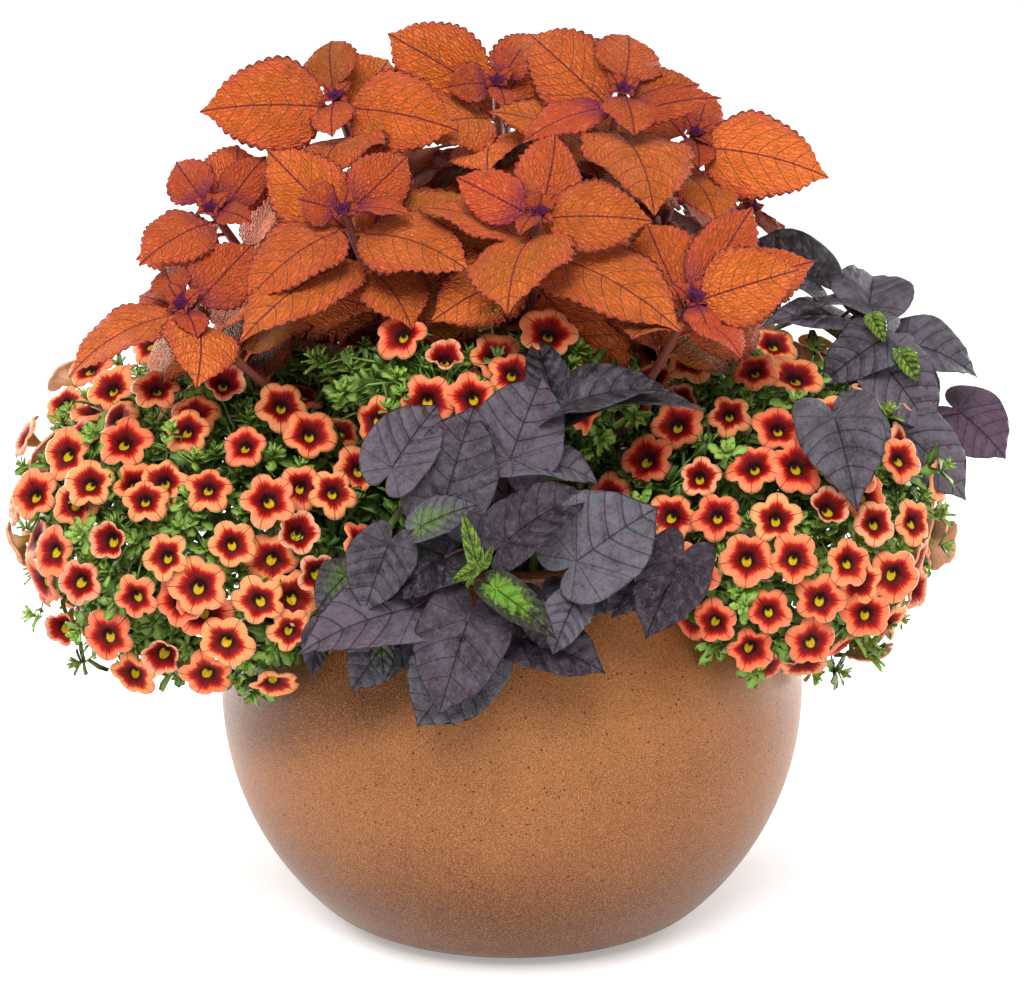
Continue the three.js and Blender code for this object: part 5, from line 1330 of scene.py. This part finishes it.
# Many small leaves, in rings of left edge, upper middle, right edge and lower middle:
# origin + along x L + side w + normal (fold |w| - curl x^2 L), x and w from the rows.
def smallLeaves(blooms, origin, along, normal, length, width, tone, fresh, seed, rows=plainRows):
    origin, along, normal = np.broadcast_arrays(origin, unit(along), normal)
    clear = clearOfBlooms(origin + along * length[:, None], blooms)
    origin, along, normal = (part[clear, None, None] for part in (origin, along, normal))
    length, width, tone, fresh, seed = (part[clear, None, None] for part in np.broadcast_arrays(
        length, width, tone, fresh, seed))
    side = unit(np.cross(along, normal))
    x = rows[:, :1]
    w = np.array([-1, 0, 1, 0]) * rows[:, 1:] * width / 2
    rise = np.array([0.18, -0.02, 0.18, -0.10]) * width - 0.16 * x * x * length
    place = origin + (x * length)[..., None] * along + w[..., None] * side \
        + rise[..., None] * np.cross(side, along)
    return closedSurfaces(carried(w.shape, place, (x, np.array([0, 0.5, 1, 0.5])),
                                  (x * length / 10, w / 10, seed), (tone, fresh, seed)), 1)


def turnedRound(axis, count, phase, step=calibrachoa["leafTurn"]):  # ways across the axis, each a step on
    return turnedWay(np.arange(count) * step + phase, *acrossFrame(axis))


def spherePoints(count):  # an even spiral of directions over a sphere
    i = np.arange(count) + 0.5
    z = 1 - 2 * i / count
    return np.append(np.sqrt(1 - z * z)[:, None] * turnedWay(i * math.pi * (3 - math.sqrt(5)), [1, 0], [0, 1]),
                     z[:, None], axis=1)


def clearOfPot(point, spare=6):
    inside = np.linalg.norm(point - [0, 0, pot["centreHeight"]]) < pot["radius"] + spare
    return not (inside and point[2] < pot["rim"] + spare)


# Blooms between those of the solids: first the ones seen from the front, then an even scatter all round.
def moreBlooms(blooms):
    centres = [s["centre"] for s in blooms]
    flat = [(c @ rightward, c @ upward) for c in centres if c[1] < 40]
    more, index = [], calibrachoa["lastIndex"]
    for moundName, mound in calibrachoa["mounds"].items():
        for right, up in mound["seen"]:
            index += 1
            found = moundPoint(mound, right, up, views[0])
            if found is None or any(math.hypot(a - right, b - up) < calibrachoa["seenRoom"] for a, b in flat):
                continue
            centre = found[0] - found[1] * (5 + 8 * chance(index, 7))
            if clearOfPot(centre, 8):
                flat.append((right, up))
                centres.append(centre)
                axis = unit(found[1] * 0.6 + nearward * 0.7 + 0.8 * (chanceWay(index) - 0.5))
                more.append(starAt("bloom", moundName, centre, axis, index))
        for way in spherePoints(mound["more"]):
            index += 1
            centre = mound["centre"] + way * mound["radii"] * (0.88 + 0.12 * chance(index, 7))
            inward = centre[:2] @ unit(mound["centre"][:2]) < calibrachoa["leastOutward"]
            if (inward and moundName != "front") or centre[2] < calibrachoa["lowestBloom"] \
                    or not clearOfPot(centre, 14) \
                    or min(np.linalg.norm(centre - c) for c in centres) < calibrachoa["moreRoom"] \
                    or nearestSpray(moundName, centre)[0] > calibrachoa["farthestFromStem"]:
                continue
            centres.append(centre)
            axis = unit(unit(way / mound["radii"]) + 0.9 * (chanceWay(index) - 0.4))
            more.append(starAt("bloom", moundName, centre, axis, index))
    print("more blooms", len(more))
    return more


# Leafy side twigs: from the nearest place on a spray's stem to a spot just inside the mound, with broad dark
# leaves along them and a rosette of spoon-shaped leaves at the end, the young ones in its middle. The broad
# leaves' low tone is partly their own deeper green and partly painted shade of the mound's inside.
def growTwigs(patches, blooms):
    shortest, longest = calibrachoa["twigLengths"]
    broad, count = calibrachoa["twigLeaves"], calibrachoa["tipLeaves"]
    for moundName, mound in calibrachoa["mounds"].items():
        for number, way in enumerate(spherePoints(mound["rosettes"] * 2)):
            depth = 0.80 + 0.18 * random.random()
            spot = mound["centre"] + way * mound["radii"] * depth + random.normal(0, 5, 3)
            out = unit(way / mound["radii"])
            room = np.linalg.norm(blooms["centre"] - spot - out * 6, axis=1).min()
            spot = spot - out * max(0, calibrachoa["twigRoom"] - room)
            _, start, owner = nearestSpray(moundName, spot)
            reach = np.linalg.norm(spot - start)
            if not clearOfPot(spot) or not shortest <= reach <= longest or spot[2] < calibrachoa["lowestTwig"] \
                    or spot @ upward > calibrachoa["highestTwig"]:
                continue
            add = patches[owner].append
            corners = (start, start + (spot - start) * 0.3 + [0, 0, 0.15 * reach],
                       start + (spot - start) * 0.7 + [0, 0, 0.25 * reach], spot)
            add(tube(bezier(corners, np.linspace(0, 1, 5)), np.linspace(1.0, 0.6, 5), 4, (0.35, 0.2, 0)))
            t = np.linspace(0.4, 0.95, broad)
            forward = unit(corners[3] - corners[2])
            along = turnedRound(forward, broad, number) + forward * 0.3 + random.normal(0, 0.2, (broad, 3)) \
                + [0, 0, 0.2]
            length = 12 + 6 * random.random(broad)
            add(smallLeaves(blooms, bezier(corners, t), along, forward + [0, 0, 0.5], length, length * 0.56,
                            0.1 + 0.4 * random.random(broad), 0, number + t))
            t = np.arange(count) / (count - 1)
            axis = unit(out * 0.7 + [0, 0, 0.55] + random.normal(0, 0.2, 3))
            along = turnedRound(axis, count, number * 1.7) * (1.15 - 0.85 * t)[:, None] \
                + axis * (0.2 + t)[:, None] + random.normal(0, 0.12, (count, 3))
            length = (16 - 9.5 * t ** 0.7) * (0.8 + 0.35 * random.random())
            tone = np.clip(0.15 + 0.6 * random.random() + 0.3 * random.random(count), 0, 1)
            fresh = np.clip((t - 0.25) * (0.5 + 0.9 * random.random()), 0, 1)
            leaves = (length, length * (0.54 - 0.12 * t), tone, fresh, number + t * 0.3)
            places = spot + axis * (t * 7)[:, None]
            for part, rows in ((slice(0, 5), spoonRows), (slice(5, None), plainRows)):
                add(smallLeaves(blooms, places[part], along[part], axis, *(value[part] for value in leaves),
                                rows))


# The stalk of each star, with five sepals under a bloom and a rosette of young leaves at a tuft.
def growStalks(stars, patches, blooms):
    for star in stars:
        root, axis, add = star["root"], star["axis"], patches[star["owner"]].append
        neck = star["centre"] - axis * (starKinds[star["kind"]]["neck"] - 0.5)
        bent = neck - axis * np.linalg.norm(neck - root) * 0.25
        path = bezier((root, root * 0.6 + neck * 0.4, bent, neck), np.linspace(0, 1, 6))
        add(tube(path, stems["bloomStalk"], 4, (0.5, 0.35, 0)))
        count = 5 if star["kind"] == "bloom" else calibrachoa["tuftLeaves"]
        t, seed = np.linspace(0, 1, count)[:, None], star["index"] + np.arange(count) * 0.2
        if star["kind"] == "bloom":
            along = turnedRound(axis, count, star["spin"], 2 * math.pi / 5) * 0.42 + axis * 1.5
            add(smallLeaves(blooms, neck, along, axis, np.full(count, 8.5), 8.5 * 0.24, 0.6, 0.35, seed))
        else:
            along = turnedRound(axis, count, star["spin"]) * (1.2 - 0.9 * t) + axis * (0.35 + 1.2 * t)
            places, t = neck + axis * t * 12, t[:, 0]
            length = 16 - 9 * t
            add(smallLeaves(blooms, places, along, axis, length, length * 0.46, 0.6 + 0.3 * t, 0.35 + 0.6 * t,
                            seed, spoonRows))


# Broad dark leaves turning round the outer part of a spray's main stem; their low tone is partly their own
# deeper green and partly painted shade of the mound's inside.
def stemLeaves(stations, seed, blooms):
    count = calibrachoa["stemLeaves"]
    t = np.linspace(0.35, 1.0, count) * (len(stations) - 1)
    along = turnedRound(unit(stations[-1] - stations[2]), count, seed) + random.normal(0, 0.25, (count, 3))
    length = 18 + 10 * random.random(count)
    return smallLeaves(blooms, alongLine(stations, t), along, [0, 0, 1.0], length, length * 0.55,
                       0.25 * random.random(count), 0, seed + t)


def growCalibrachoa():
    stars = findStars()
    skins = [bloomPaint(), greenPaint()]
    patches = {name: [] for name in sprayStations}
    blooms = [s for s in stars if s["kind"] == "bloom"]
    more = moreBlooms(blooms)
    tufts = [s for s in stars if s["kind"] == "tuft"
             and min(np.linalg.norm(s["centre"] - m["centre"]) for m in more) > calibrachoa["tuftRoom"]]
    everyBloom = {k: np.array([s[k] for s in blooms + more]) for k in ("centre", "axis")}
    for number, (name, stations) in enumerate(sprayStations.items()):
        add = patches[name].append
        for group, around in ((blooms, calibrachoa["around"]), (more, calibrachoa["moreAround"])):
            own = [s for s in group if s["owner"] == name]
            if own:
                add(makeBlooms(own, around))
        line = easedLine(stations, 6)
        add(tube(line, stems["spray"] * np.linspace(1.2, 0.5, len(line)), 7, (0.3, 0.1, 0)))
        add(stemLeaves(stations, number, everyBloom))
    growStalks(blooms + tufts + more, patches, everyBloom)
    growTwigs(patches, everyBloom)
    for name, grown in patches.items():
        makePiece(f"flowering_spray_{name}", grown, skins, f"calibrachoa_spray_{name}")


growCalibrachoa()
print("calibrachoa grown")

shown = [o.data for o in bpy.data.objects if o.type == "MESH" and not o.hide_render]
print("triangles", sum(len(face.vertices) - 2 for mesh in shown for face in mesh.polygons))
